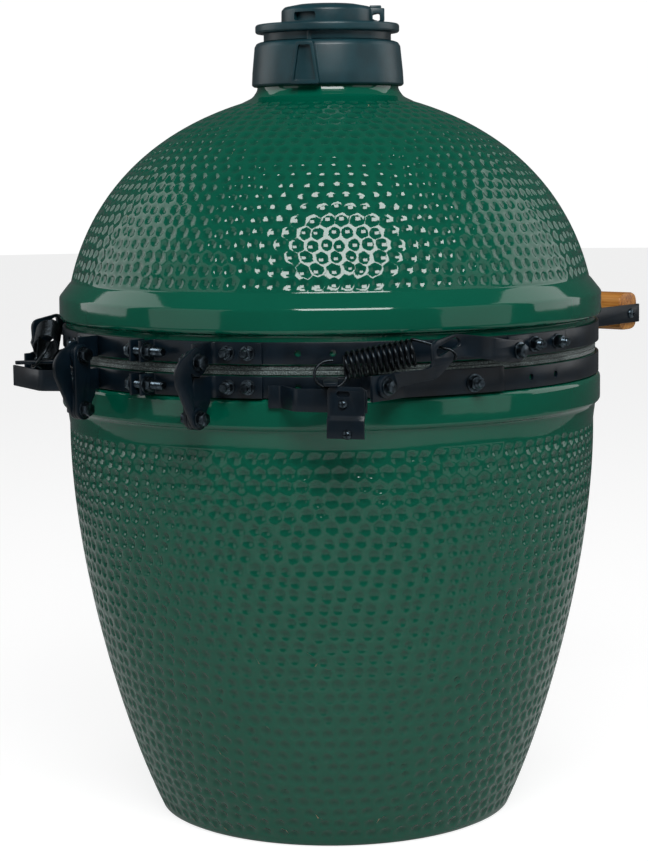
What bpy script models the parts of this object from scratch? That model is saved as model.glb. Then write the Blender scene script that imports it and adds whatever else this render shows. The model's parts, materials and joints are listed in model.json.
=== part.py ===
"""Kamado ceramic grill: a glazed bowl and dome joined by banded, spring-assisted links.

Metres, +Z up. The origin is the middle of the flat underside. The lift handle and the draft door
face -Y, and the hinge is at +Y. Many hinge pieces come in mirrored pairs: side +1 is the -X side
and side -1 is the +X side. Pair pieces are drawn in hinge coordinates (u, w, z), where u runs
along +Y, w runs outwards to the piece's own side, and z is height.
"""
import math

import bmesh
import bpy
from mathutils import Matrix, Vector

# ---- driving dimensions -----------------------------------------------------------------------
GAP = 0.0003                  # air left between touching pieces
SEG = 36                      # facets round the bowl, the dome and everything concentric with them
SEAM_Z = 0.4855               # where the two gaskets meet
CERAMIC_R = 0.277             # ceramic under the bands
LIP_R = 0.282                 # the plain rims beside the bands
WALL = 0.026                  # ceramic wall
GASKET_T = 0.0043
BAND_T = 0.003
BAND_H = 0.0205
STEEL = 0.003                 # bracket plate
LEVER_T = 0.004               # links and levers
BOLT_R = 0.0042
HOLE_R = 0.0048
EYE_R = 0.0105                # rounded end of a link or lever
TOP_EYE_R = 0.0135            # rounded top end of a crescent link
LOW_BAND_Z = 0.4600           # bottom edge of the bowl's band
TOP_BAND_Z = 0.4920           # bottom edge of the dome's band
BAND_MID_R = CERAMIC_R + GAP + BAND_T / 2.0
STRAP_MID_R = CERAMIC_R + 2 * GAP + BAND_T + STEEL / 2.0    # straps bolted on to a band
EAR_W = 0.0065                # clamp ears stand this far either side of the back
EAR_U = 0.2990                # and reach out to here, just clear of the lifting gasket
CLAMP_U = 0.2915              # clamp bolt axis

# linkage pivots as (u, z)
LINK_LOW = (0.298, SEAM_Z - 0.043)
LINK_TOP = (0.299, SEAM_Z + 0.010)
LEVER_LOW = (0.209, SEAM_Z - 0.012)
LEVER_TOP = (0.070, SEAM_Z + 0.013)
LINK_W = 0.075                # mid-plane of a link pair
LEVER_LOW_W = 0.2265          # mid-plane of the lever bracket on the bowl
LEVER_TOP_W = 0.2785          # mid-plane of the lever bracket on the dome

# vent cap
COLLAR_Z = 0.756
COLLAR_TOP = 0.8010
CAP_PIVOT = Vector((-0.0243, 0.0592, 0.0))

# draft door, on a flat boss that leans with the bowl's side
DOOR_PLACE = (0.0, -0.2170, 0.080)
DOOR_LEAN = math.radians(18.9)


# ---- materials --------------------------------------------------------------------------------
def material(name, colour, roughness, metallic=0.0):
    mat = bpy.data.materials.new(name)
    mat.use_nodes = True
    shader = mat.node_tree.nodes["Principled BSDF"]
    shader.inputs["Base Color"].default_value = (*colour, 1.0)
    shader.inputs["Roughness"].default_value = roughness
    shader.inputs["Metallic"].default_value = metallic
    return mat


def all_materials():
    return {
        "glaze": material("green_glaze", (0.012, 0.085, 0.055), 0.15),
        "clay": material("fired_clay", (0.55, 0.42, 0.30), 0.9),
        "felt": material("grey_felt", (0.22, 0.25, 0.24), 0.95),
        "black": material("black_powder_coat", (0.012, 0.016, 0.02), 0.4),
        "bolt": material("zinc_bolt", (0.25, 0.26, 0.28), 0.35, 1.0),
        "spring": material("spring_steel", (0.05, 0.055, 0.06), 0.3, 1.0),
        "wood": material("handle_wood", (0.45, 0.22, 0.08), 0.5),
        "iron": material("cast_iron", (0.03, 0.03, 0.032), 0.6, 0.4),
        "grid": material("grid_steel", (0.5, 0.5, 0.5), 0.35, 1.0),
        "door": material("brushed_steel", (0.45, 0.45, 0.46), 0.35, 1.0),
        "dial": material("dial_white", (0.8, 0.8, 0.78), 0.4),
        "pointer": material("pointer_red", (0.6, 0.03, 0.02), 0.4),
    }


# ---- mesh helpers -----------------------------------------------------------------------------
def finish_mesh(bm, name, mat, origin=(0.0, 0.0, 0.0)):
    """Turn a bmesh drawn in world coordinates into an object whose origin is on its joint."""
    bmesh.ops.remove_doubles(bm, verts=bm.verts, dist=1e-6)
    bmesh.ops.recalc_face_normals(bm, faces=bm.faces)
    bmesh.ops.translate(bm, verts=bm.verts, vec=-Vector(origin))
    mesh = bpy.data.meshes.new(name)
    bm.to_mesh(mesh)
    bm.free()
    mesh.materials.append(mat)
    mesh.shade_smooth()
    mesh.set_sharp_from_angle(angle=math.radians(35))
    obj = bpy.data.objects.new(name, mesh)
    obj.location = origin
    bpy.context.collection.objects.link(obj)
    return obj


def combine(target, tool, operation):
    """Cut or join target with tool, keep the result and drop the tool."""
    step = target.modifiers.new(operation, "BOOLEAN")
    step.operation = operation
    step.object = tool
    step.solver = "EXACT"
    bpy.context.view_layer.update()
    graph = bpy.context.evaluated_depsgraph_get()
    mesh = bpy.data.meshes.new_from_object(target.evaluated_get(graph))
    target.modifiers.clear()
    target.data = mesh
    bpy.data.objects.remove(tool)
    return target


def cut(target, tool):
    return combine(target, tool, "DIFFERENCE")


def join(target, tool):
    return combine(target, tool, "UNION")


def arc(centre, radius, start, end, steps):
    """Points of a flat arc, angles in degrees."""
    points = []
    for i in range(steps + 1):
        a = math.radians(start + (end - start) * i / steps)
        points.append((centre[0] + radius * math.cos(a), centre[1] + radius * math.sin(a)))
    return points


def bezier(p0, p1, p2, p3, steps):
    """Points of a cubic curve, without its last one."""
    points = []
    for i in range(steps):
        t = i / steps
        s = 1.0 - t
        points.append(tuple(s ** 3 * a + 3 * s * s * t * b + 3 * s * t * t * c + t ** 3 * d
                            for a, b, c, d in zip(p0, p1, p2, p3)))
    return points


def turned(name, outline, mat, seg=SEG, base=Matrix.Identity(4), origin=(0.0, 0.0, 0.0)):
    """Revolve a closed (radius, height) outline about the local Z axis of base."""
    bm = bmesh.new()
    rings = []
    for r, z in outline:
        if r < 1e-7:
            vert = bm.verts.new(base @ Vector((0.0, 0.0, z)))
            rings.append([vert] * seg)
            continue
        ring = []
        for k in range(seg):
            a = 2.0 * math.pi * k / seg
            ring.append(bm.verts.new(base @ Vector((r * math.cos(a), r * math.sin(a), z))))
        rings.append(ring)
    for low, high in zip(rings, rings[1:] + rings[:1]):
        for k in range(seg):
            corners = []
            for vert in (low[k], low[(k + 1) % seg], high[(k + 1) % seg], high[k]):
                if vert not in corners:
                    corners.append(vert)
            if len(corners) > 2:
                bm.faces.new(corners)
    return finish_mesh(bm, name, mat, origin)


def along(point, direction):
    """Matrix whose Z axis runs along direction from point."""
    return Matrix.Translation(point) @ Vector(direction).to_track_quat("Z", "Y").to_matrix().to_4x4()


def rod(name, start, end, radius, mat, seg=10):
    """Plain round bar between two points."""
    start, end = Vector(start), Vector(end)
    length = (end - start).length
    outline = [(0.0, 0.0), (radius, 0.0), (radius, length), (0.0, length)]
    return turned(name, outline, mat, seg, along(start, end - start))


def box(name, low, high, mat, origin=(0.0, 0.0, 0.0)):
    bm = bmesh.new()
    bmesh.ops.create_cube(bm, size=1.0)
    low, high = Vector(low), Vector(high)
    bmesh.ops.scale(bm, verts=bm.verts, vec=high - low)
    bmesh.ops.translate(bm, verts=bm.verts, vec=(low + high) / 2.0)
    return finish_mesh(bm, name, mat, origin)


def plate(name, outline, to_world, thickness_vec, mat, origin=(0.0, 0.0, 0.0)):
    """Flat outline placed by to_world(a, b) and given a thickness by a straight sweep."""
    bm = bmesh.new()
    face = bm.faces.new([bm.verts.new(to_world(a, b)) for a, b in outline])
    swept = bmesh.ops.extrude_face_region(bm, geom=[face])
    moved = [item for item in swept["geom"] if isinstance(item, bmesh.types.BMVert)]
    bmesh.ops.translate(bm, verts=moved, vec=thickness_vec)
    return finish_mesh(bm, name, mat, origin)


def strap(name, path, thickness, low, high, mat, origin=(0.0, 0.0, 0.0)):
    """Bent strap: a plan path (x, y) with mitred corners, from height low to high."""
    left, right = [], []
    for i, point in enumerate(path):
        here = Vector(point)
        ahead = (Vector(path[min(i + 1, len(path) - 1)]) - here)
        behind = (here - Vector(path[max(i - 1, 0)]))
        d1 = (behind if behind.length else ahead).normalized()
        d2 = (ahead if ahead.length else behind).normalized()
        n1, n2 = Vector((-d1.y, d1.x)), Vector((-d2.y, d2.x))
        mitre = (n1 + n2) / (1.0 + n1.dot(n2))
        left.append(here + mitre * thickness / 2.0)
        right.append(here - mitre * thickness / 2.0)
    outline = left + right[::-1]
    bm = bmesh.new()
    rows = [[bm.verts.new((p.x, p.y, z)) for p in outline] for z in (low, high)]
    count = len(path)
    for i in range(count - 1):
        j = 2 * count - 1 - i
        for row in rows:
            bm.faces.new((row[i], row[i + 1], row[j - 1], row[j]))
    for i in range(2 * count):
        k = (i + 1) % (2 * count)
        bm.faces.new((rows[0][i], rows[0][k], rows[1][k], rows[1][i]))
    return finish_mesh(bm, name, mat, origin)


def tube(name, path, radius, mat, sides=3):
    """Round wire swept along points, with flat ends."""
    points = [Vector(p) for p in path]
    bm = bmesh.new()
    normal = None
    rings = []
    for i, here in enumerate(points):
        ahead = points[min(i + 1, len(points) - 1)]
        behind = points[max(i - 1, 0)]
        tangent = (ahead - behind).normalized()
        if normal is None:
            normal = tangent.orthogonal().normalized()
        normal = (normal - tangent * normal.dot(tangent)).normalized()
        side = tangent.cross(normal)
        ring = []
        for k in range(sides):
            a = 2.0 * math.pi * k / sides
            ring.append(bm.verts.new(here + radius * (math.cos(a) * normal + math.sin(a) * side)))
        rings.append(ring)
    for low, high in zip(rings, rings[1:]):
        for k in range(sides):
            bm.faces.new((low[k], low[(k + 1) % sides], high[(k + 1) % sides], high[k]))
    bm.faces.new(rings[0])
    bm.faces.new(rings[-1])
    return finish_mesh(bm, name, mat)


def leaning(obj):
    """Stand an upright draft-door piece on the leaning boss."""
    obj.rotation_euler.x = DOOR_LEAN
    obj.location = DOOR_PLACE
    return obj


# ---- hinge coordinates ------------------------------------------------------------------------
def world(side, u, w, z):
    return Vector((-side * w, u, z))


def polar(side, angle, radius, z):
    """Point at an angle (degrees) from the hinge, seen from above."""
    a = math.radians(angle)
    return world(side, radius * math.cos(a), radius * math.sin(a), z)


def plan(side, points):
    return [(-side * w, u) for u, w in points]


def hug(radius, start, end, pitch=360.0 / SEG):
    """Plan points (u, w) that follow the facets of a concentric ring."""
    first, last = sorted((start, end))
    angles = [first]
    k = math.floor(first / pitch) + 1
    while k * pitch < last - 1e-6:
        if k * pitch - angles[-1] > 0.5:
            angles.append(k * pitch)
        k += 1
    if last - angles[-1] < 0.5:
        angles.pop()
    angles.append(last)
    points = [(radius * math.cos(math.radians(a)), radius * math.sin(math.radians(a)))
              for a in angles]
    return points if start <= end else points[::-1]


def fastener(point, direction, mat, head=0.0075, washer=0.0088, stub=0.006):
    """Washer, nut and thread end, standing out of a plate that it is sunk into slightly."""
    sink = 0.001
    levels = [(0.0, -sink), (washer, -sink), (washer, 0.0015), (head, 0.0015), (head, 0.0075),
              (BOLT_R, 0.0075), (BOLT_R, 0.0075 + stub), (0.0, 0.0075 + stub)]
    return turned("fastener", levels, mat, 6, along(point, direction))


# ---- ceramic ----------------------------------------------------------------------------------
def bowl_outline():
    body_top = 0.411
    inner = CERAMIC_R - WALL
    outside = [(0.0, 0.0), (0.180, 0.0)]
    outside += bezier((0.188, 0.005), (0.2290, 0.0942), (0.27705, 0.2737), (0.275, body_top), 7)
    outside += [(0.275, body_top), (0.2775, 0.428), (LIP_R, 0.431), (LIP_R, 0.4555),
                (0.280, 0.4580), (CERAMIC_R, 0.4590), (CERAMIC_R, SEAM_Z - GASKET_T - GAP)]
    inside = [(inner, SEAM_Z - GASKET_T - GAP), (inner, 0.425)]
    inside += bezier((inner, 0.411), (0.249, 0.2737), (0.206, 0.1140), (0.165, 0.040), 5)
    inside += [(0.158, 0.034), (0.0, 0.032)]
    return outside + inside


def dome_outline():
    low = SEAM_Z + GASKET_T + GAP
    inner = CERAMIC_R - WALL
    outside = [(CERAMIC_R, low), (CERAMIC_R, 0.5190), (LIP_R, 0.5200), (LIP_R + 0.001, 0.523),
               (LIP_R + 0.001, 0.5420), (0.272, 0.5560)]
    outside += bezier((0.269, 0.558), (0.2544, 0.6262), (0.2047, 0.7042), (0.090, 0.739), 8)
    outside += [(0.090, 0.739), (0.0785, 0.7445), (0.0735, 0.750), (0.0725, 0.790)]
    inside = [(0.0545, 0.790), (0.0545, 0.745)]
    inside += bezier((0.060, 0.7225), (0.185, 0.6850), (0.2290, 0.6110), (0.2435, 0.552), 5)
    inside += [(inner, 0.530)]
    return outside + inside


def build_bowl(mats):
    bowl = turned("bowl_shell", bowl_outline(), mats["glaze"])
    join(bowl, leaning(box("boss", (-0.096, 0.0, -0.048), (0.096, 0.045, 0.048), mats["glaze"])))
    hollow = [(0.0, 0.032), (0.158, 0.034)]
    hollow += bezier((0.165, 0.040), (0.206, 0.114), (0.249, 0.2737), (0.251, 0.411), 5)
    hollow += [(0.251, 0.411), (0.0, 0.411)]
    cut(bowl, turned("hollow", hollow, mats["clay"]))
    cut(bowl, leaning(box("draft_cut", (-0.062, -0.04, -0.030), (0.062, 0.12, 0.030), mats["clay"])))
    return bowl


# the thermometer stands on the dome's front, square to its surface
GAUGE_R = 0.2512
GAUGE_Z = 0.6100
GAUGE_OUT = Vector((0.0, -0.894, 0.447))
GAUGE_POINT = Vector((0.0, -GAUGE_R, GAUGE_Z))


def build_dome(mats):
    dome = turned("dome_shell", dome_outline(), mats["glaze"])
    start = GAUGE_POINT - GAUGE_OUT * 0.05
    cut(dome, rod("stem_cut", start, GAUGE_POINT + GAUGE_OUT * 0.03, 0.006, mats["clay"]))
    return dome


def build_gaskets(mats):
    outer, inner = CERAMIC_R - 0.0002, CERAMIC_R - WALL + 0.001
    half = GAP / 2.0
    low = [(inner, SEAM_Z - GASKET_T), (outer, SEAM_Z - GASKET_T), (outer, SEAM_Z - half),
           (inner, SEAM_Z - half)]
    high = [(inner, SEAM_Z + half), (outer, SEAM_Z + half), (outer, SEAM_Z + GASKET_T),
            (inner, SEAM_Z + GASKET_T)]
    turned("bowl_gasket", low, mats["felt"])
    turned("dome_gasket", high, mats["felt"])


# ---- bands and their clamp bolts --------------------------------------------------------------
UNUSED_HOLES = (32.2, 38.9, 82.0, 90.0)     # spare holes in both bands, degrees from the hinge
SMALL_HOLE_R = 0.0032


def build_band(name, low, mats):
    """Steel strap round the rim whose two ends turn outwards into clamp ears."""
    ring = hug(BAND_MID_R, 360.0 / SEG, 360.0 - 360.0 / SEG)
    root = math.sqrt(BAND_MID_R ** 2 - EAR_W ** 2)
    path = [(EAR_U, EAR_W), (root, EAR_W)] + ring + [(root, -EAR_W), (EAR_U, -EAR_W)]
    band = strap(name, plan(1, path), BAND_T, low, low + BAND_H, mats["black"])
    height = low + BAND_H / 2.0
    ear_hole = rod("ear_hole", world(1, CLAMP_U, -0.03, height), world(1, CLAMP_U, 0.03, height),
                   HOLE_R, mats["black"])
    cut(band, ear_hole)
    for angle in UNUSED_HOLES:
        for side in (1, -1):
            hole = rod("hole", polar(side, angle, CERAMIC_R + 0.0004, height),
                       polar(side, angle, 0.285, height), SMALL_HOLE_R, mats["black"], 6)
            cut(band, hole)
    return band


def build_clamp_bolt(name, low, mats):
    """Bolt through the two ears: head on one side, washer, nut and long thread on the other."""
    height = low + BAND_H / 2.0
    ear_face = EAR_W + BAND_T / 2.0 + GAP
    head, washer = 0.0070, 0.0085
    outline = [(0.0, -0.016), (head, -0.016), (head, -ear_face - 0.0012), (washer, -ear_face - 0.0012),
               (washer, -ear_face), (BOLT_R, -ear_face), (BOLT_R, ear_face), (washer, ear_face),
               (washer, ear_face + 0.0012), (head, ear_face + 0.0012), (head, 0.0165),
               (BOLT_R, 0.0165), (BOLT_R, 0.030), (0.0, 0.030)]
    turned(name, outline, mats["bolt"], 10, along(world(1, CLAMP_U, 0.0, height), world(1, 0, 1, 0)))


# ---- hinge brackets and links -----------------------------------------------------------------
def flange_plate(name, side, outline, w_mid, thickness, mat, origin=(0.0, 0.0, 0.0)):
    """Plate square to the hinge axis, drawn as a (u, z) outline."""
    low = w_mid - thickness / 2.0
    return plate(name, outline, lambda u, z: world(side, u, low, z),
                 world(side, 0.0, thickness, 0.0), mat, origin)


def hinge_path(side, mid):
    """Bracket against the band that turns outwards beside the links."""
    corner_u = math.sqrt(mid * mid - LINK_W * LINK_W)
    return plan(side, hug(mid, 25.4, 16.875) + [(corner_u, LINK_W), (0.3, LINK_W)])


def build_hinge_brackets(side, tag, mats):
    mid, low_z, top_z = STRAP_MID_R, LOW_BAND_Z, TOP_BAND_Z
    lower = strap("lower_hinge_bracket_" + tag, hinge_path(side, mid), STEEL, low_z, low_z + BAND_H,
                  mats["black"])
    ear = [(0.276, low_z + BAND_H), (0.276, 0.4565), (0.2865, LINK_LOW[1])]
    ear += arc(LINK_LOW, EYE_R, 190, 350, 7) + [(0.3085, 0.456), (0.300, low_z + BAND_H)]
    join(lower, flange_plate("ear", side, ear, LINK_W, STEEL, mats["black"]))
    upper = strap("upper_hinge_bracket_" + tag, hinge_path(side, mid), STEEL, top_z, top_z + BAND_H,
                  mats["black"])
    eye = [(0.276, top_z + BAND_H), (0.276, top_z)] + arc(LINK_TOP, EYE_R, 215, 420, 8)
    join(upper, flange_plate("eye", side, eye, LINK_W, STEEL, mats["black"]))
    for bracket, height in ((lower, low_z + 0.0105), (upper, top_z + 0.0105)):
        for angle in (18.6, 22.6):
            point = polar(side, angle, mid + STEEL / 2.0 - 0.0002, height)
            outwards = polar(side, angle, 1.0, 0.0)
            join(bracket, fastener(point, outwards, mats["bolt"], 0.0062, 0.0072))
    cut(lower, rod("hole", world(side, LINK_LOW[0], 0.06, LINK_LOW[1]),
                   world(side, LINK_LOW[0], 0.09, LINK_LOW[1]), HOLE_R, mats["bolt"]))


def three_point_arc(a, b, c, steps):
    """Arc from a through b to c, as flat points."""
    ax, ay, bx, by, cx, cy = *a, *b, *c
    d = 2.0 * (ax * (by - cy) + bx * (cy - ay) + cx * (ay - by))
    sa, sb, sc = ax * ax + ay * ay, bx * bx + by * by, cx * cx + cy * cy
    centre = Vector(((sa * (by - cy) + sb * (cy - ay) + sc * (ay - by)) / d,
                     (sa * (cx - bx) + sb * (ax - cx) + sc * (bx - ax)) / d))
    radius = (Vector(a) - centre).length
    start = math.atan2(ay - centre.y, ax - centre.x)
    middle = math.atan2(by - centre.y, bx - centre.x)
    end = math.atan2(cy - centre.y, cx - centre.x)
    turn = (end - start) % (2.0 * math.pi)
    if (middle - start) % (2.0 * math.pi) > turn:
        turn -= 2.0 * math.pi
    return arc(centre, radius, math.degrees(start), math.degrees(start + turn), steps)


def link_outline():
    """Crescent link: two eyes joined by a web that bulges away from the grill."""
    mid_z = (LINK_LOW[1] + LINK_TOP[1]) / 2.0
    edge = arc(LINK_TOP, TOP_EYE_R, 90, 50, 2)
    edge += bezier((0.3110, 0.5038), (0.3190, 0.5010), (0.3285, 0.4950), (0.3290, 0.4850), 5)
    edge += [(0.3290, 0.4850), (0.3280, 0.4760)]
    foot = arc(LINK_LOW, EYE_R, -25, -310, 9)
    hollow = three_point_arc(foot[-1], (0.3060, mid_z), arc(LINK_TOP, TOP_EYE_R, -45, -45, 1)[0], 4)
    crown = arc(LINK_TOP, TOP_EYE_R, -45, -270, 8)
    return edge + foot + hollow[1:-1] + crown[:-1]


def bar_outline():
    """Inner link: a plain bar with round ends."""
    return arc(LINK_TOP, EYE_R, 0, 180, 8) + arc(LINK_LOW, EYE_R, 180, 360, 8)


def build_links(side, tag, mats):
    """A crescent outside the bracket flanges, a bar inside them, and the bolt they turn on."""
    pivot = (0.0, LINK_LOW[0], LINK_LOW[1])
    offset = STEEL / 2.0 + GAP + LEVER_T / 2.0
    for word, way in (("outer", 1), ("inner", -1)):
        mid = LINK_W + way * offset
        outline = link_outline() if way > 0 else bar_outline()
        link = flange_plate(f"hinge_link_{word}_{tag}", side, outline, mid, LEVER_T,
                            mats["black"], pivot)
        cut(link, rod("hole", world(side, LINK_LOW[0], 0.05, LINK_LOW[1]),
                      world(side, LINK_LOW[0], 0.10, LINK_LOW[1]), HOLE_R, mats["bolt"]))
        face = mid + way * (LEVER_T / 2.0)
        join(link, fastener(world(side, LINK_TOP[0], face, LINK_TOP[1]), world(side, 0, way, 0),
                            mats["bolt"], 0.0070, 0.0082, 0.001))
    reach = offset + LEVER_T / 2.0 + GAP
    outline = [(0.0, -reach - 0.0075), (0.0070, -reach - 0.0075), (0.0070, -reach - 0.0012),
               (0.0082, -reach - 0.0012), (0.0082, -reach), (BOLT_R, -reach), (BOLT_R, reach),
               (0.0082, reach), (0.0082, reach + 0.0012), (0.0070, reach + 0.0012),
               (0.0070, reach + 0.0070), (0.0, reach + 0.0070)]
    turned("link_bolt_" + tag, outline, mats["bolt"], 10,
           along(world(side, LINK_LOW[0], LINK_W, LINK_LOW[1]), world(side, 0, 1, 0)), pivot)


# ---- levers -----------------------------------------------------------------------------------
def lever_offset(u, z):
    """How far out the joggled lever lies: close in at the bowl, further out at the dome."""
    low_w = LEVER_LOW_W + STEEL / 2.0 + GAP
    slot_w = 0.260
    top_w = LEVER_TOP_W + STEEL / 2.0 + GAP
    neck = (u - 0.175) * 0.894 - (z - SEAM_Z - 0.005) * 0.447
    if neck >= 0.024:
        return low_w
    if neck > 0.005:
        return slot_w + (low_w - slot_w) * (neck - 0.005) / 0.019
    return slot_w + (top_w - slot_w) * min(max((0.150 - u) / 0.040, 0.0), 1.0)


def lever_outline():
    s = SEAM_Z
    points = [(0.181, s + 0.024), (0.176, s + 0.0290), (0.143, s + 0.0335), (0.090, s + 0.0250)]
    points += arc(LEVER_TOP, 0.011, 75, 285, 10)
    points += [(0.095, s + 0.004), (0.141, s + 0.012), (0.150, s + 0.0085), (0.1586, s + 0.0024),
               (0.170, s - 0.003), (0.181, s - 0.008), (0.195, s - 0.0175), (0.203, s - 0.0215)]
    points += arc(LEVER_LOW, 0.011, 270, 450, 10)
    points += [(0.200, s - 0.001), (0.185, s + 0.003), (0.180, s + 0.008)]
    return points


def build_lever(side, tag, mats):
    """Flat bar, bent twice, with a slot that the spring hooks into."""
    bm = bmesh.new()
    bm.faces.new([bm.verts.new((u, z, 0.0)) for u, z in lever_outline()])
    along_neck = Vector((0.894, -0.447, 0.0))
    origin = Vector((0.175, SEAM_Z + 0.005, 0.0))
    bends = [(origin + along_neck * 0.005, along_neck), (origin + along_neck * 0.024, along_neck),
             (Vector((0.150, 0.0, 0.0)), Vector((1, 0, 0))),
             (Vector((0.110, 0.0, 0.0)), Vector((1, 0, 0)))]
    for point, normal in bends:
        geometry = bm.verts[:] + bm.edges[:] + bm.faces[:]
        bmesh.ops.bisect_plane(bm, geom=geometry, plane_co=point, plane_no=normal)
    swept = bmesh.ops.extrude_face_region(bm, geom=bm.faces[:])
    far = {item for item in swept["geom"] if isinstance(item, bmesh.types.BMVert)}
    for vert in bm.verts:
        u, z = vert.co.x, vert.co.y
        w = lever_offset(u, z) + (LEVER_T if vert in far else 0.0)
        vert.co = world(side, u, w, z)
    pivot = (0.0, LEVER_LOW[0], LEVER_LOW[1])
    lever = finish_mesh(bm, "lift_lever_" + tag, mats["black"], pivot)
    slot = arc((0.1455, SEAM_Z + 0.0255), 0.0045, 75, 255, 6)
    slot += arc((0.1710, SEAM_Z + 0.0187), 0.0045, -105, 75, 6)
    cut(lever, flange_plate("slot", side, slot, 0.262, 0.03, mats["black"]))
    for u, z in (LEVER_LOW, LEVER_TOP):
        cut(lever, rod("hole", world(side, u, 0.20, z), world(side, u, 0.32, z), HOLE_R,
                       mats["bolt"]))


def build_pivot_bolt(name, side, pivot, bracket_w, nut, mats):
    """Hex bolt that holds a lever end against its bracket flange, with a lock nut behind."""
    back = STEEL / 2.0 + GAP
    front = STEEL / 2.0 + 2 * GAP + LEVER_T
    outline = [(0.0, -back - nut), (0.0068, -back - nut), (0.0068, -back), (BOLT_R, -back),
               (BOLT_R, front), (0.0085, front), (0.0085, front + 0.0012),
               (0.0068, front + 0.0012), (0.0068, front + 0.0065), (0.0, front + 0.0065)]
    turned(name, outline, mats["bolt"], 10,
           along(world(side, pivot[0], bracket_w, pivot[1]), world(side, 0, 1, 0)),
           (0.0, pivot[0], pivot[1]))


def build_lever_brackets(side, tag, mats):
    mid = STRAP_MID_R
    path = plan(side, hug(mid, 74.0, 62.0) + [(0.176, LEVER_LOW_W), (0.226, LEVER_LOW_W)])
    lower = strap("lower_lever_bracket_" + tag, path, STEEL, LOW_BAND_Z, 0.4840, mats["black"])
    join(lower, fastener(polar(side, 66.9, mid + STEEL / 2.0 - 0.0002, 0.4700),
                         polar(side, 66.9, 1.0, 0.0), mats["bolt"]))
    path = plan(side, hug(mid, 93.0, 80.5) + [(0.054, LEVER_TOP_W), (0.081, LEVER_TOP_W)])
    upper = strap("upper_lever_bracket_" + tag, path, STEEL, TOP_BAND_Z, TOP_BAND_Z + BAND_H,
                  mats["black"])
    for angle in (82.0, 89.3):
        join(upper, fastener(polar(side, angle, mid + STEEL / 2.0 - 0.0002, 0.5025),
                             polar(side, angle, 1.0, 0.0), mats["bolt"], 0.0066, 0.0078))
    for bracket, (u, z) in ((lower, LEVER_LOW), (upper, LEVER_TOP)):
        cut(bracket, rod("hole", world(side, u, 0.20, z), world(side, u, 0.32, z), HOLE_R,
                         mats["bolt"]))


# ---- springs ----------------------------------------------------------------------------------
WIRE_R = 0.0015
COIL_R = 0.0122
RING_R = 0.0148
COIL_TURNS = 13
TAB_Z = 0.4765                # underside of the anchor tab


def spring_path(side):
    """Ring round the anchor tab, close coil, and a hook through the lever's slot."""
    start = polar(side, 40.8, 0.2985, SEAM_Z + 0.006)
    end = polar(side, 53.6, 0.2985, SEAM_Z + 0.018)
    axis = (end - start).normalized()
    outwards = polar(side, 38.9, 1.0, 0.0)
    ring_mid = polar(side, 38.4, 0.305, SEAM_Z - 0.0005)
    ring_across = polar(side, 128.9, 1.0, 0.0)
    ring_up = (Vector((0, 0, 0.8)) - 0.6 * outwards).normalized()
    path = []
    for i in range(15):
        a = math.radians(60 + 20 * i + 20)
        path.append(ring_mid + RING_R * (math.cos(a) * ring_across + math.sin(a) * ring_up))
    up = (Vector((0, 0, 1)) - axis * axis.z).normalized()
    across = axis.cross(up)
    steps = 7
    for i in range(COIL_TURNS * steps + 1):
        a = 2.0 * math.pi * i / steps
        centre = start.lerp(end, i / (COIL_TURNS * steps))
        path.append(centre + COIL_R * (math.cos(a) * up + side * math.sin(a) * across))
    s = SEAM_Z
    hook = [(0.1705, 0.2470, s + 0.0265), (0.1665, 0.2530, s + 0.0240), (0.1625, 0.2600, s + 0.0215),
            (0.1590, 0.2680, s + 0.0195), (0.1575, 0.2720, s + 0.0150), (0.1575, 0.2710, s + 0.0100)]
    return path + [world(side, *p) for p in hook]


def build_spring_anchor(side, tag, mats):
    """Tab on the bowl's band that the spring's ring hangs round."""
    mid = STRAP_MID_R
    path = plan(side, hug(mid, 36.0, 44.0))
    anchor = strap("spring_anchor_" + tag, path, STEEL, LOW_BAND_Z, TAB_Z + STEEL - 0.0005,
                   mats["black"])
    outwards = polar(side, 38.4, 1.0, 0.0)
    across = polar(side, 128.4, 1.0, 0.0)
    centre = polar(side, 38.4, 0.0, TAB_Z)
    tongue = [(mid - 0.0004, -0.0068), (0.328, -0.0068), (0.331, -0.004), (0.331, 0.004),
              (0.328, 0.0068), (mid - 0.0004, 0.0068)]
    tab = plate("tab", tongue, lambda a, b: centre + a * outwards + b * across,
                Vector((0, 0, STEEL)), mats["black"])
    join(anchor, tab)


# ---- stand brackets ---------------------------------------------------------------------------
STAND_BEND = Vector((0.2629, 0.1662))     # plan points (u, w) of the strap's outer flat
STAND_TIP = Vector((0.2377, 0.2306))


def build_stand_bracket(side, tag, mats):
    """Strap that steps outwards from the bowl's band, for the grill's stand or cart."""
    mid = LIP_R + 2 * GAP + STEEL / 2.0
    path = hug(mid, 26.6, 29.2) + [tuple(STAND_BEND), tuple(STAND_TIP)]
    strap("stand_bracket_" + tag, plan(side, path), STEEL, 0.4515, 0.4728, mats["black"])


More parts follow.
